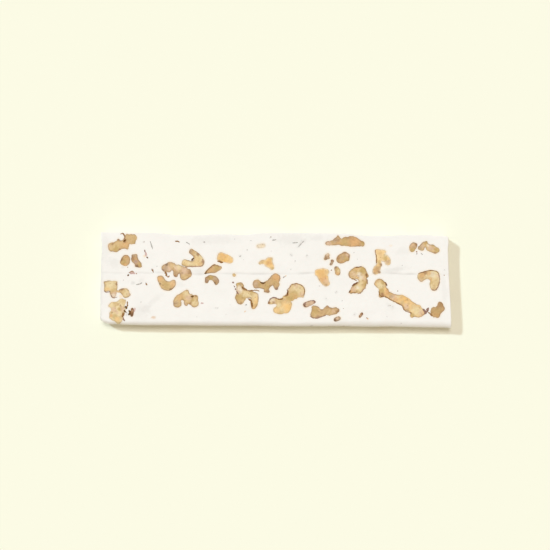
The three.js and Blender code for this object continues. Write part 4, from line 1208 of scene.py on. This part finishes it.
def dab(color, places, tone, x, y, size, strength, wide=None, turn=0):
    """Blend one soft dab of a tone into colours. With a width and a turn it becomes a stroke."""
    away = places[:, :2] - (np.array([x, y]) + EYE_SHIFT)
    cosine, sine = math.cos(math.radians(turn)), math.sin(math.radians(turn))
    along = (away[:, 0] * cosine + away[:, 1] * sine) / size
    across = (away[:, 1] * cosine - away[:, 0] * sine) / (wide or size)
    bend = 1 + BEND * noise(places, 0.9, 1.0) + FINE_BEND * noise(places, 0.4, 4.0)
    weight = np.clip(DAB_EDGE - DAB_EDGE * np.hypot(along, across) * bend, 0, 1)
    return tint(color, tone, strength * weight)


def set_colors(thing, color):
    """Give each point of a mesh its colour, for the shader to read."""
    layer = thing.data.color_attributes.new("tone", "FLOAT_COLOR", "POINT")
    layer.data.foreach_set("color", np.column_stack([color, np.ones(len(color))]).ravel())


sample = dab(np.ones((1, 3)), np.zeros((1, 3)), "gold", 0, 0, 1, 1)
print("a white point under a full dab of gold turns to", sample.round(2)[0])

# %% [markdown]
# A finer noise gives each piece the freckles and the mealy mottling of a cut kernel, and presses
# a mealy relief into its cut face, a little deeper along the rim. Pieces on the hidden faces
# have no places read from the photograph, so they get seeded random dabs.

# %% Paint the walnut pieces
CHANCE_TONES = ["gold", "orange", "oily", "rosy", "brown", "pale"]
CHANCE_COUNT = 7
CHANCE_SPREAD = 2.2
FRECKLE_LIMIT = 0.55
MOTTLING = 0.06
FINE_MOTTLING = 0.05
MEAL = 0.05
FINE_MEAL = 0.03
RIM_DIP = 0.04
RIM_DIP_REACH = 0.3


def chance_dabs(name):
    """Dabs at seeded random places, for the pieces that the photograph doesn't show."""
    dice = np.random.default_rng(WALNUTS.index(name))
    middle = points_of(walnuts[name]).mean(axis=0)[:2] - EYE_SHIFT
    tones = dice.choice(CHANCE_TONES, CHANCE_COUNT)
    return [(tone, *(middle + dice.normal(0, CHANCE_SPREAD, 2)), dice.uniform(0.8, 2.2),
             dice.uniform(0.4, 0.9)) for tone in tones]


def paint_walnut(name):
    """Colour the points of a walnut piece, and press a mealy relief into its cut face."""
    part = walnuts[name]
    places = points_of(part)
    on_face, from_rim, normals = measures[name]
    chance = (BASES[SLOTS[name]], BROWN_RIM, chance_dabs(name))
    base, (rim_tone, rim_width, rim_strength), dabs = PAINTING.get(name.removeprefix("walnut_"), chance)
    color = np.tile(TONE_COLORS[base], (len(places), 1))
    for stroke in dabs:
        color = dab(color, places, *stroke)
    uneven = np.clip(0.7 + 0.8 * noise(places, 1.5, 8.0), 0, 1)
    color = tint(color, rim_tone, rim_strength * uneven * fade(from_rim, rim_width))
    color = tint(color, "brown", np.clip(1.6 * (noise(places, 0.6, 2.0) - FRECKLE_LIMIT), 0, 0.6))
    mottle = 1 + MOTTLING * noise(places, 1.2, 5.0) + FINE_MOTTLING * noise(places, 0.5, 7.0)
    set_colors(part, color * mottle[:, None])
    dip = dents(places, MEAL, 0.7) + dents(places, FINE_MEAL, 0.35)
    dip += RIM_DIP * fade(from_rim, RIM_DIP_REACH) * uneven
    pressed_in = places - normals * (dip * on_face)[:, None]
    part.data.vertices.foreach_set("co", (pressed_in * MM).ravel())
    part.data.update()


for name in walnuts:
    paint_walnut(name)
print("colours on", sum(len(part.data.vertices) for part in walnuts.values()), "points")

# %% [markdown]
# The walnut's material multiplies the painted tones by a fine mottling. Cut walnut is mealy and
# a little oily: matt, with soft small lumps, and light goes a very short way into it.

# %% Walnut material
OIL = (0.88, 0.83, 0.73, 1)


def walnut_material(name, grain, roughness):
    """A mealy cut kernel: painted tones, fine speckle and a little oil."""
    material, shader, start = new_material(name, roughness, specular=0.35,
                                           subsurface=0.1, subsurface_mm=0.3)
    tone = start.node("ShaderNodeVertexColor", {"layer_name": "tone"}, output="Color")
    mottle = start.lumps(1.4, 4.0).between(0.40, 0.72)
    speck = start.lumps(0.4, 2.0).between(0.45, 0.75)
    oil = (mottle * grain + speck * grain * 0.5).mix((1, 1, 1, 1), OIL)
    color = start.node("ShaderNodeMix", {"data_type": "RGBA", "blend_type": "MULTIPLY"},
                       {"Factor_Float": 1.0, "A_Color": tone, "B_Color": oil}, "Result_Color")
    paint(shader, color, mottle * 0.6 + speck * 0.4, height_mm=0.12)
    return material


GRAINS = {"walnut_tan": (0.7, 0.55), "walnut_pale": (0.6, 0.6), "walnut_honey": (0.4, 0.5),
          "walnut_brown": (0.8, 0.6)}
MATERIALS = {slot: walnut_material(slot, *grain) for slot, grain in GRAINS.items()}
for name, part in walnuts.items():
    use_material(part, MATERIALS[SLOTS[name]])
    smooth_but_sharp(part, degrees=50)
print("walnut materials:", *MATERIALS)

# %% [markdown]
# The walnut's skin shows as thin brown lines where the knife met it edge on. Some run along a
# kernel, some across it, and some lie alone in the paste. Each will be a thin ragged strip along
# a path. A path has its width and its places.

# %% Skin lines
SKINS = {
    "spots_dark": ("umber", "walnut_brown", [
        (0.85, [(-67, 15.7), (-66.3, 16.3), (-65.8, 16.8)]),
        (1.5, [(-65.9, -12.4), (-65.2, -13.6)]),
        (1.4, [(-66.5, -14.1), (-65.3, -15.3)]),
        (0.9, [(-64.3, -14), (-63.9, -15.3), (-64.4, -16.4)]),
        (0.9, [(-37.1, 7.8), (-36.6, 8.4), (-36, 9.1)]),
        (0.8, [(-37.3, -7.7), (-36.6, -7.9), (-35.8, -7.7)]),
        (0.8, [(-31.4, 2.2), (-30.5, 2.7)]),
        (0.6, [(-7, -1.3), (-5.8, -1.8), (-4.5, -1.4)]),
        (0.8, [(-6.5, -1.6), (-5.8, -1.8), (-5.1, -1.6)]),
        (0.45, [(12.3, -10.8), (12.8, -11.6), (13.4, -11.8)]),
        (1.1, [(-65.1, 0.9), (-64.3, 1.4)]),
        (0.9, [(-56.7, 9.4), (-56.2, 8.6)])]),
    "skin_dark": ("skin", "walnut_brown", [
        (0.6, [(4.9, -4.2), (5.2, -5.4), (5.1, -7)]),
        (0.6, [(35.8, -0.7), (34.8, -1.6), (33.2, -2.5)]),
        (0.6, [(32.6, -4.4), (32.3, -5), (31.8, -5.6)]),
        (0.4, [(34.8, 5.5), (36.2, 5.8), (37.4, 6.1)]),
        (0.4, [(47.6, -0.6), (48.2, -1.4), (48.6, -2.4)]),
        (0.7, [(39.3, 2.2), (39.8, 2.6)])]),
    "skin_mauve": ("plum", "walnut_brown", [
        (0.7, [(64.2, -12.2), (65.4, -13.2), (65.7, -13.6), (65.2, -14.6)]),
        (1.1, [(66.8, -11.6), (66.6, -12.6), (66.2, -13.8)]),
        (0.6, [(-57.6, 12.4), (-57.5, 11.8), (-57.3, 11)]),
        (0.6, [(-66.8, -17.2), (-66.5, -18.2), (-66, -19)]),
        (0.4, [(13.4, -9.9), (12.6, -10.2), (12.3, -11), (12.8, -11.8)]),
        (0.4, [(15.8, -9.3), (16.8, -9), (17.4, -9.8), (16.6, -10.4)]),
        (0.3, [(15, -16), (16.4, -16.7), (18.2, -16.9), (20.4, -16), (22, -15.5)]),
        (0.35, [(-72.2, -7.6), (-71.8, -8.6), (-70.6, -8.9), (-69.4, -8.4)]),
        (0.4, [(-75.2, -5.6), (-74.6, -6.5), (-73.6, -6.4), (-72.4, -6)]),
        (0.7, [(-19, -1.2), (-18.6, -1.9)]),
        (0.9, [(-18.5, -2.9), (-17.9, -3.7)]),
        (0.6, [(-17.9, -4), (-17.6, -4.9)]),
        (0.6, [(-17.4, -5.1), (-16.8, -6), (-16.3, -6.8)]),
        (0.45, [(-3.1, -9.8), (-2.6, -8.7), (-1.6, -8), (-0.4, -7.9), (0.6, -8.4)]),
        (0.5, [(61.2, 12.2), (61.8, 12)])]),
}
print("skin lines:", {name: len(paths) for name, (_, _, paths) in SKINS.items()})

# %% [markdown]
# The browner and thinner lines mostly follow the kernels' own edges. One pair runs along the
# underside of the branching cut, and others curl round the two hooks.

# %% Brown and thin skin lines
SKINS |= {
    "skin_brown": ("bark", "walnut_brown", [
        (0.8, [(-65.1, -10.2), (-65, -11.4), (-65, -12.6)]),
        (0.9, [(-66.2, -15.2), (-66.8, -16.2), (-67.2, -17.2)]),
        (0.45, [(-68.4, 19), (-67.8, 19.4), (-67, 19.2), (-66.5, 18.3), (-66.4, 17)]),
        (0.8, [(-14.9, -3.1), (-14.4, -4), (-13.4, -4.6), (-12.6, -4.9)]),
        (0.45, [(-12.6, -4.9), (-11.5, -5.1), (-9.5, -4.9), (-8.2, -4.8), (-7.2, -5.2)]),
        (0.7, [(-12.4, -8.6), (-11.4, -8.9), (-10.8, -9.8), (-10.5, -10.8), (-10.2, -12.4)]),
        (0.4, [(0.6, -8.5), (1.4, -8.8), (2.6, -8.7), (3.2, -8.1)]),
        (0.4, [(3.5, -7.2), (4.6, -7.2), (5.1, -6.8)]),
        (0.45, [(-3.4, -10.8), (-3.1, -9.8)]),
        (0.35, [(6.6, -2.2), (8.6, -1.7), (10.6, -2.1), (12, -3)]),
        (0.4, [(12.1, -3.2), (12.5, -4.2), (12.5, -5.6), (12.2, -7)]),
        (0.5, [(32.9, 0.7), (34.2, 0.4), (35.4, -0.1)]),
        (0.35, [(32.4, -5.6), (33.6, -5.5), (35, -5.5)]),
        (0.4, [(39.3, 3.3), (39.6, 2.2), (39.7, 1)]),
        (0.4, [(43.5, 11.6), (43.8, 10.4), (43.9, 8.8), (43.7, 7.4)]),
        (0.42, [(47.6, -6.9), (49, -7.6), (50.6, -8.6), (52.4, -9.4), (54.2, -10.3), (55.4, -11)]),
        (0.38, [(55.4, -11), (55.8, -12.2), (56.6, -13.2), (58.2, -13.7), (59.6, -14.1)]),
        (0.4, [(45, -4.6), (45.4, -6.2), (46.2, -7.2), (47.4, -7)]),
        (0.5, [(66.6, -13.7), (67.8, -14.4), (68.6, -15.4)]),
        (0.3, [(-31, 2.6), (-30.2, 3.6), (-29.2, 4.7), (-28, 5.8), (-26.9, 6.4)]),
        (0.8, [(-48.6, 3), (-48.1, 1.8), (-47.7, 0.7)]),
        (0.35, [(-46.8, -5.2), (-45.6, -4.8), (-44.7, -4)]),
        (0.6, [(-25.8, 7.8), (-24.6, 7.5), (-23.2, 7.1)]),
        (0.5, [(-54.1, 4.1), (-53.9, 3.2), (-53.7, 2.4)]),
        (0.5, [(-57.1, -2.2), (-56.3, -3.1)]),
        (0.8, [(-44.4, 16.4), (-43.4, 16.2), (-42.3, 15.9)]),
        (0.44, [(37.3, -16), (36.7, -16.1)]),
        (0.4, [(39.7, -16.2), (40.2, -16.8)]),
        (0.35, [(62.2, 3.2), (64, 3.8), (66, 4.4), (68.2, 4.7), (70.2, 4.2), (71.2, 3.2)])]),
    "skin_thin": ("taupe", "walnut_brown", [
        (0.5, [(-64.5, 2.1), (-63.4, 2.8), (-62.2, 2.6)]),
        (0.6, [(-47.7, 0.6), (-47.1, 0.5), (-46.6, 1.2)]),
        (0.4, [(5, -4.3), (6.1, -3.5), (6.6, -2.5)]),
        (0.35, [(35.6, -5.9), (37, -5.7), (37.7, -4.6), (38.4, -3.9), (39.4, -3.3)]),
        (0.35, [(39.8, 0.6), (40.1, -0.8), (39.9, -1.8)]),
        (0.4, [(32, 3.2), (31.8, 1.9), (32.6, 0.9)]),
        (0.35, [(43.3, 13.4), (43.4, 12.4), (43.5, 11.6)]),
        (0.6, [(-61.4, 2.1), (-60.8, 1.8)]),
        (0.5, [(24, 7.2), (23.6, 6.9)]),
        (0.6, [(61.1, 13), (61.7, 12.6)]),
        (0.4, [(71.2, 3.2), (71.6, 1.2), (71.5, -0.8), (70.9, -2.6), (69.6, -4), (68.2, -3.9)]),
        (0.35, [(-32.4, 8.6), (-31.8, 6.8), (-32.4, 5.5), (-34, 5.3), (-37, 5.2), (-40, 5)])]),
}
print("skin lines:", {name: len(paths) for name, (_, _, paths) in SKINS.items()})

# %% [markdown]
# Small flecks and dust of nut and skin lie all over the paste, and grey veins of dust mark where
# the knife smeared it. The three patches are thin films of kernel: one bridges two pieces, and
# two fill a notch. The longer ones are short paths too. The dots are given by their places only,
# and get a length and a turn by chance. The lower face, which the photograph doesn't show, gets
# as many at random places.

# %% Flecks
SKINS |= {
    "flecks_pink": ("mauve", "walnut_brown", [
        (0.9, [(-57.3, 11.4), (-57.1, 10.4), (-56.9, 9.5)]),
        (1.5, [(-64, 1.9), (-63, 2.2), (-61.7, 2)]),
        (0.9, [(-61.7, -13), (-61.7, -14.8)]),
        (0.9, [(-32.9, -10.7), (-31.6, -10.7)])]),
    "patches": ("tan", "walnut_pale", [
        (1.5, [(34.4, 1.4), (35.4, 1.1), (36.4, 1.1)]),
        (0.9, [(-69.9, -5.6), (-69.2, -5.9), (-68.4, -6.1)]),
        (1.2, [(18.4, -12.6), (19.6, -13.2)])]),
    "veins_grey": ("ash", "nougat", [
        (0.4, [(-55.3, 16.2), (-54.9, 15), (-54.5, 13.8), (-54.2, 12.6)]),
        (0.45, [(-61.3, -2.9), (-60.4, -2.9), (-59.4, -2.5), (-58.6, -2)]),
        (0.45, [(-54.6, 4.2), (-54.4, 3.2)]),
        (0.44, [(-39.6, 15.9), (-38.9, 15.6), (-37.9, 14.9)]),
        (0.8, [(-32, 16), (-31.2, 15.8)]),
        (0.8, [(-16.2, 9.9), (-15.6, 9.9)]),
        (0.8, [(-13.2, -11.2), (-12.6, -11.1)]),
        (0.5, [(-1.9, 17.1), (-0.8, 17.3), (0, 17.4)]),
        (0.35, [(7, 16.1), (8.2, 16.1), (9.4, 16.3)]),
        (0.35, [(9.6, 14.3), (10.4, 15.2), (11.2, 16.1), (12, 16.9)]),
        (0.4, [(63.2, 12.2), (63.6, 11.8), (64.1, 11.5)]),
        (0.6, [(3, 0.7), (3.4, 1.2), (4, 1.3)]),
        (0.3, [(-57.2, -1.7), (-56.6, -2.2)])]),
}
DOTS = {
    "dots_brown": ("bark", "walnut_brown", 0.42, [
        (3.2, 0.8), (29.6, -12.4), (-2.4, 18.6), (39.9, -16.5), (73.6, 2.6), (53.3, -4.5), (-57.9, 15.9),
        (24.2, 4.3), (50, -10.9), (-65, 4.6)]),
    "dots_grey": ("dusk", "nougat", 0.5, [
        (-59, -10.5), (-31.4, 15.9), (-31.8, 16.2), (-18.3, 17.5), (-15.6, 10.2), (-14.3, 8.5),
        (-12.8, 12.8), (-11.2, 16.9), (-21.7, -15.5), (-25.4, -12.7), (-26.2, -12.7), (-34.5, -16.7),
        (-20, -11.3), (-12.9, -11.1), (-13.3, -11.3), (-2.3, 12.4), (6.3, 10.9), (6.8, 10.4), (8.3, 8.2),
        (8.2, 7.7), (6.5, 4.5), (13.4, 10.7), (13.2, 10.1), (26.5, -5), (26.2, -5.6), (29, -9), (19, -2.6),
        (35.5, 9.3), (34, 12.1), (55.2, 6.7), (48.7, -15.8), (49.2, -11), (51.2, -11.4), (73.7, 4.9),
        (-52.2, 5.2), (-66.8, -1), (22, -8), (34.4, -15), (61.4, 11.6), (-2.8, 18.2), (10.9, 17.3),
        (55, -18.6)]),
    "dots_orange": ("rosy", "walnut_pale", 0.75, [(-13.4, -14.2), (4.2, 1.6), (40.4, -16.8)]),
}
HIDDEN_FLECKS = 60
HIDDEN_AREA = ((-72, -17), (71, 16))
print("dots:", sum(len(places) for *_, places in DOTS.values()))

# %% [markdown]
# A strip follows its path in fine steps. Its two edges wander, its ends taper, and it is pressed
# into the face so that only a little of it stands out. Each of its edges is laid on the face
# where it really runs, so the strip follows every dent.

# %% One strip
STRIP_STEP = 0.2
FEWEST_SECTIONS = 5
STRIP_SUNK = 0.12
STRIP_PROUD = 0.03
TAPER = 0.8
THINNEST = 0.08
WIDTH_WANDER = 0.35
EDGE_WANDER = 0.6
ABOVE_ALL = 30


def face_level(places, up):
    """How high the upper or lower face lies at flat places."""
    start_at = TOP / 2 + ABOVE_ALL * up
    return np.array([block_surface.ray_cast(Vector((x, y, start_at)), Vector((0, 0, -up)))[0].z
                     for x, y in places])


def strip_line(path):
    """A path in fine steps with its corners softened, and how far along it each step is."""
    route = np.array(path) + EYE_SHIFT
    length = np.concatenate([[0], np.cumsum(np.linalg.norm(np.diff(route, axis=0), axis=1))])
    places = np.linspace(0, length[-1], max(FEWEST_SECTIONS, int(length[-1] / STRIP_STEP)))
    line = np.stack([np.interp(places, length, route[:, k]) for k in (0, 1)], axis=1)
    for _ in range(3):
        line[1:-1] = (line[:-2] + 2 * line[1:-1] + line[2:]) / 4
    return line, places


def strip(width, path, seed, up):
    """The points and faces of a strip on the upper or lower face."""
    line, places = strip_line(path)
    step = np.gradient(line, axis=0)
    step /= np.linalg.norm(step, axis=1, keepdims=True)
    aside = np.stack([-step[:, 1], step[:, 0]], axis=1) * up
    ends = np.minimum(places, places[-1] - places) / (TAPER * width)
    seeds = np.column_stack([line, np.full(len(line), 3.0 * seed)])
    half = width / 2 * np.sqrt(np.clip(ends, THINNEST, 1)) * (1 + WIDTH_WANDER * noise(seeds, 1.6, 4.0))
    left = line + aside * (half * (1 + EDGE_WANDER * noise(seeds, 0.5)))[:, None]
    right = line - aside * (half * (1 + EDGE_WANDER * noise(seeds, 0.5, 9.0)))[:, None]
    section = [(left, -STRIP_SUNK), (left, STRIP_PROUD / 2), (line, STRIP_PROUD),
               (right, STRIP_PROUD / 2), (right, -STRIP_SUNK)]
    rows = [np.column_stack([flat, np.maximum(face_level(flat, up) + rise * up, 0)])
            for flat, rise in section]
    return np.stack(rows, axis=1).reshape(-1, 3), tube_faces(len(section), len(line))


print("a strip 5 mm long has", len(strip(0.4, [(0, 0), (5, 0)], 0, 1)[1]), "faces")

# %% [markdown]
# Joined strips of one tone make one piece, with a plain material of that tone and a lighter one.

# %% Strips pressed into the face
LIGHTER = 30


def add_strips(name, tone, slot, strips):
    """One piece from many strips, each given by its width, its path and the side it lies on."""
    thing = add_object(name, *join(strip(width, path, seed, up)
                                   for seed, (width, path, up) in enumerate(strips)))
    material, shader, start = new_material(name, roughness=0.7, specular=0.1)
    lighter = seen(*[min(255, level + LIGHTER) for level in TONES[tone]])
    color = start.lumps(0.6).between(0.35, 0.7).mix(seen(*TONES[tone]), lighter)
    paint(shader, color, start.lumps(0.3), height_mm=0.03)
    use_material(thing, material)
    smooth_but_sharp(thing, degrees=60)
    return thing, slot


def chance_path(dice, place, length):
    """A short straight path of about a length, turned by chance."""
    turn = dice.uniform(0, math.pi)
    reach = length * dice.uniform(0.5, 1.1) / 2 * np.array([math.cos(turn), math.sin(turn)])
    return [tuple(np.array(place) - reach), tuple(np.array(place) + reach)]


def chance_marks(dice, size, places, longer, up):
    """A short strip at each place, with its width, length and turn by chance."""
    return [(size * dice.uniform(0.6, 1.1), chance_path(dice, place, longer * size), up)
            for place in places]


pressed = {name: add_strips(name, tone, slot, [(width, path, 1) for width, path in paths])
           for name, (tone, slot, paths) in SKINS.items()}
for name, (tone, slot, size, places) in DOTS.items():
    dice = np.random.default_rng(len(places))
    marks = chance_marks(dice, size, places, longer=1.4, up=1)
    below = dice.uniform(*HIDDEN_AREA, (HIDDEN_FLECKS // len(DOTS), 2))
    marks += chance_marks(dice, size, below, longer=3, up=-1)
    pressed[name] = add_strips(name, tone, slot, marks)
print("pressed in:", {name: len(thing.data.polygons) for name, (thing, _) in pressed.items()})

# %% [markdown]
# The paste isn't plain white either. The knife has dragged faint grey smears over it, and painted
# shade darkens bands along the left end and the far edge, and a shallow crease on the left. Each
# mark is a dab that is longer than wide, with a turn in degrees.

# %% Smears and painted shade on the paste
# Painted shade among these: the long bands at the left end and along the far edge darken the rounded edges,
# the dusk dab darkens the near left corner, and the diagonal marks near (-56, -12) darken a shallow crease.
# The other marks are grey smears, stains and a fleck of the paste.
SMEARS_AND_SHADE = [
    ("shade", -53, -9.5, 5.5, 0.35, 1.6, 43), ("shade", -57, -13.6, 3, 0.4, 2.4, 20),
    ("shade", -59, -15, 5, 0.3, 3.5, 35), ("shade", -27, 17.2, 13, 0.3, 2.4, 0),
    ("shade", -34, 16.4, 6, 0.15, 2.6, 0), ("shade", 6, 17.6, 8, 0.4, 3, 2),
    ("shade", 18, 18.2, 4, 0.4, 1.6, 0), ("shade", -75, 13, 3, 0.3, 8, 0),
    ("shade", -71, 6.2, 3.2, 0.4, 3.6, 0), ("shade", -33.8, 3.2, 3.6, 0.45, 1.6, 0),
    ("shade", -76.6, -1, 1, 0.6, 19, 0), ("dusk", -76.9, -16, 0.8, 0.4, 4, 0),
    ("shade", -62.7, -2.2, 1.4, 0.9, 1.1, 0), ("shade", -59, -1.2, 2, 0.4, 1.4, 30),
    ("dusk", -65.1, -15.8, 0.7, 0.5, 1.4, 10), ("dusk", -58, 15.8, 0.6, 0.6, 0.5, 0),
    ("shade", -67.3, 4.5, 0.9, 0.6, 0.5, 0), ("stain", -67.8, -8.2, 1.3, 0.9, 0.9, 0),
    ("shade", 51.5, 4.7, 6.5, 0.55, 1.3, 8), ("shade", 56, 13, 4, 0.3, 2.2, 10),
    ("shade", 50.5, -11.2, 3.2, 0.5, 1.2, -25), ("shade", 34.6, -15, 1, 0.5, 1.2, 0),
    ("shade", 26.4, -5.2, 1.1, 0.6, 0.9, 40), ("shade", 6.6, 10.8, 1.3, 0.6, 0.9, 0),
    ("shade", 13.4, 10.4, 1, 0.5, 0.8, 60), ("shade", 22, -8.4, 0.9, 0.4, 1.4, 80),
    ("shade", -26, -12.8, 1.4, 0.5, 0.6, 0), ("shade", -15.8, 10, 1.2, 0.6, 0.9, 0),
    ("shade", 30, 17, 12, 0.2, 3, 0), ("shade", -42, -2.6, 2.6, 0.3, 1.6, 0),
    ("stain", 50.1, 15.4, 0.8, 0.5, 0.6, 0), ("shade", -14, -13, 8, 0.15, 3, 10),
    ("shade", 73.6, -3, 1.4, 0.3, 9, 4), ("rosy", -53.5, -17.2, 1.4, 0.8, 0.7, 0),
    ("stain", -57.6, 9.6, 0.9, 0.9, 0.7, 0), ("shade", 10.6, 15.8, 2.6, 0.8, 0.8, 48),
    ("shade", 8.3, 16.2, 1.5, 0.7, 0.5, 0), ("shade", 12, 17, 1.2, 0.5, 0.8, 20),
]
print(len(SMEARS_AND_SHADE), "smears")

# %% [markdown]
# The four sides were cut like the faces, so small flecks of nut and dust dot them too. The
# photograph doesn't show them, so their places are seeded.

# %% Flecks on the sides
SIDE_FLECKS = (30, 8)
SIDE_TONES = ["tan", "brown", "dusk", "ash", "rosy"]
CLEAR_OF_EDGES = (1, 9)


def side_flecks(color, places):
    """Blend small flecks into the colours of the points on the four sides."""
    dice = np.random.default_rng(5)
    for name, (axis, sign) in SIDES.items():
        along = 1 - axis
        for tone in dice.choice(SIDE_TONES, SIDE_FLECKS[along]):
            centre = np.empty(3)
            centre[along] = dice.uniform(-1, 1) * STRAIGHT_REACH[along]
            centre[axis] = side_at(name, centre[along])
            centre[2] = dice.uniform(*CLEAR_OF_EDGES)
            away = np.linalg.norm(places - centre, axis=1) / dice.uniform(0.5, 1.1)
            color = tint(color, tone, 0.9 * np.clip(1.5 - 1.5 * away, 0, 1))
    return color


print("flecks on the sides:", 2 * sum(SIDE_FLECKS))

# %% [markdown]
# The paste's colours come together: soft clouds, the smears and the painted shade on the upper
# face, painted shade along the groove of the seam, the flecks, and the oil of the nuts, which tints
# the paste warm right beside them.

# %% Paint the paste
CLOUDS = 0.012
SEAM_SHADE_WIDTH = 0.36
SEAM_SHADE_STRENGTH = 0.5
STAIN_REACH = 0.5
STAIN_STRENGTH = 0.5


def paint_paste():
    """Colour the points of the nougat."""
    places = points_of(nougat)
    color = np.tile(TONE_COLORS["paste"], (len(places), 1))
    color *= 1 + CLOUDS * noise(places, 5.0)[:, None] + CLOUDS * noise(places, 1.8)[:, None]
    # The marks above, smears and painted shade alike, go on the upper face only.
    smeared_and_shaded = color
    for tone, x, y, size, strength, wide, turn in SMEARS_AND_SHADE:
        smeared_and_shaded = dab(smeared_and_shaded, places, tone, x, y, size, strength, wide, turn)
    upper = places[:, 2] > TOP / 2
    color = np.where(upper[:, None], smeared_and_shaded, color)
    # Painted shade: the groove of the seam is darkened with the dusk tone along the same line that dents
    # it.
    color = tint(color, "dusk", SEAM_SHADE_STRENGTH * np.clip(seam_mark(places, SEAM_SHADE_WIDTH), 0, 1))
    color = side_flecks(color, places)
    uneven = np.clip(0.8 + 0.6 * noise(places, 2.0, 3.0), 0, 1)
    weight = STAIN_STRENGTH * fade(distance_to(RIM_POINTS, places), STAIN_REACH) * uneven
    set_colors(nougat, tint(color, "stain", weight))


paint_paste()
print("the stain follows", len(RIM_POINTS), "rim points")

# %% [markdown]
# Nougat is whipped sugar and egg white: matt, close-grained, and a little translucent. Its
# material takes the painted tones and adds soft lumps and pores as a bump.

# %% Nougat material
material, shader, start = new_material("nougat_white", roughness=0.6, specular=0.3,
                                       subsurface=0.2, subsurface_mm=0.5)
tone = start.node("ShaderNodeVertexColor", {"layer_name": "tone"}, output="Color")
pores = start.lumps(0.7, 2.0).between(0.35, 0.75)
paint(shader, tone, start.lumps(2.2) * 0.7 + pores * 0.3, height_mm=0.05)
use_material(nougat, material)
smooth_but_sharp(nougat, degrees=35)
print("nougat:", len(nougat.data.polygons), "faces")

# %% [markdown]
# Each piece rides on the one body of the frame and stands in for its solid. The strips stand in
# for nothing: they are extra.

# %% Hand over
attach(nougat, "root")
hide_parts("nougat")
for name, part in walnuts.items():
    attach(part, "root")
    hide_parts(name)
for thing, slot in pressed.values():
    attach(thing, "root")
print("handed over:", 1 + len(walnuts), "pieces for solids and", len(pressed), "extra ones")
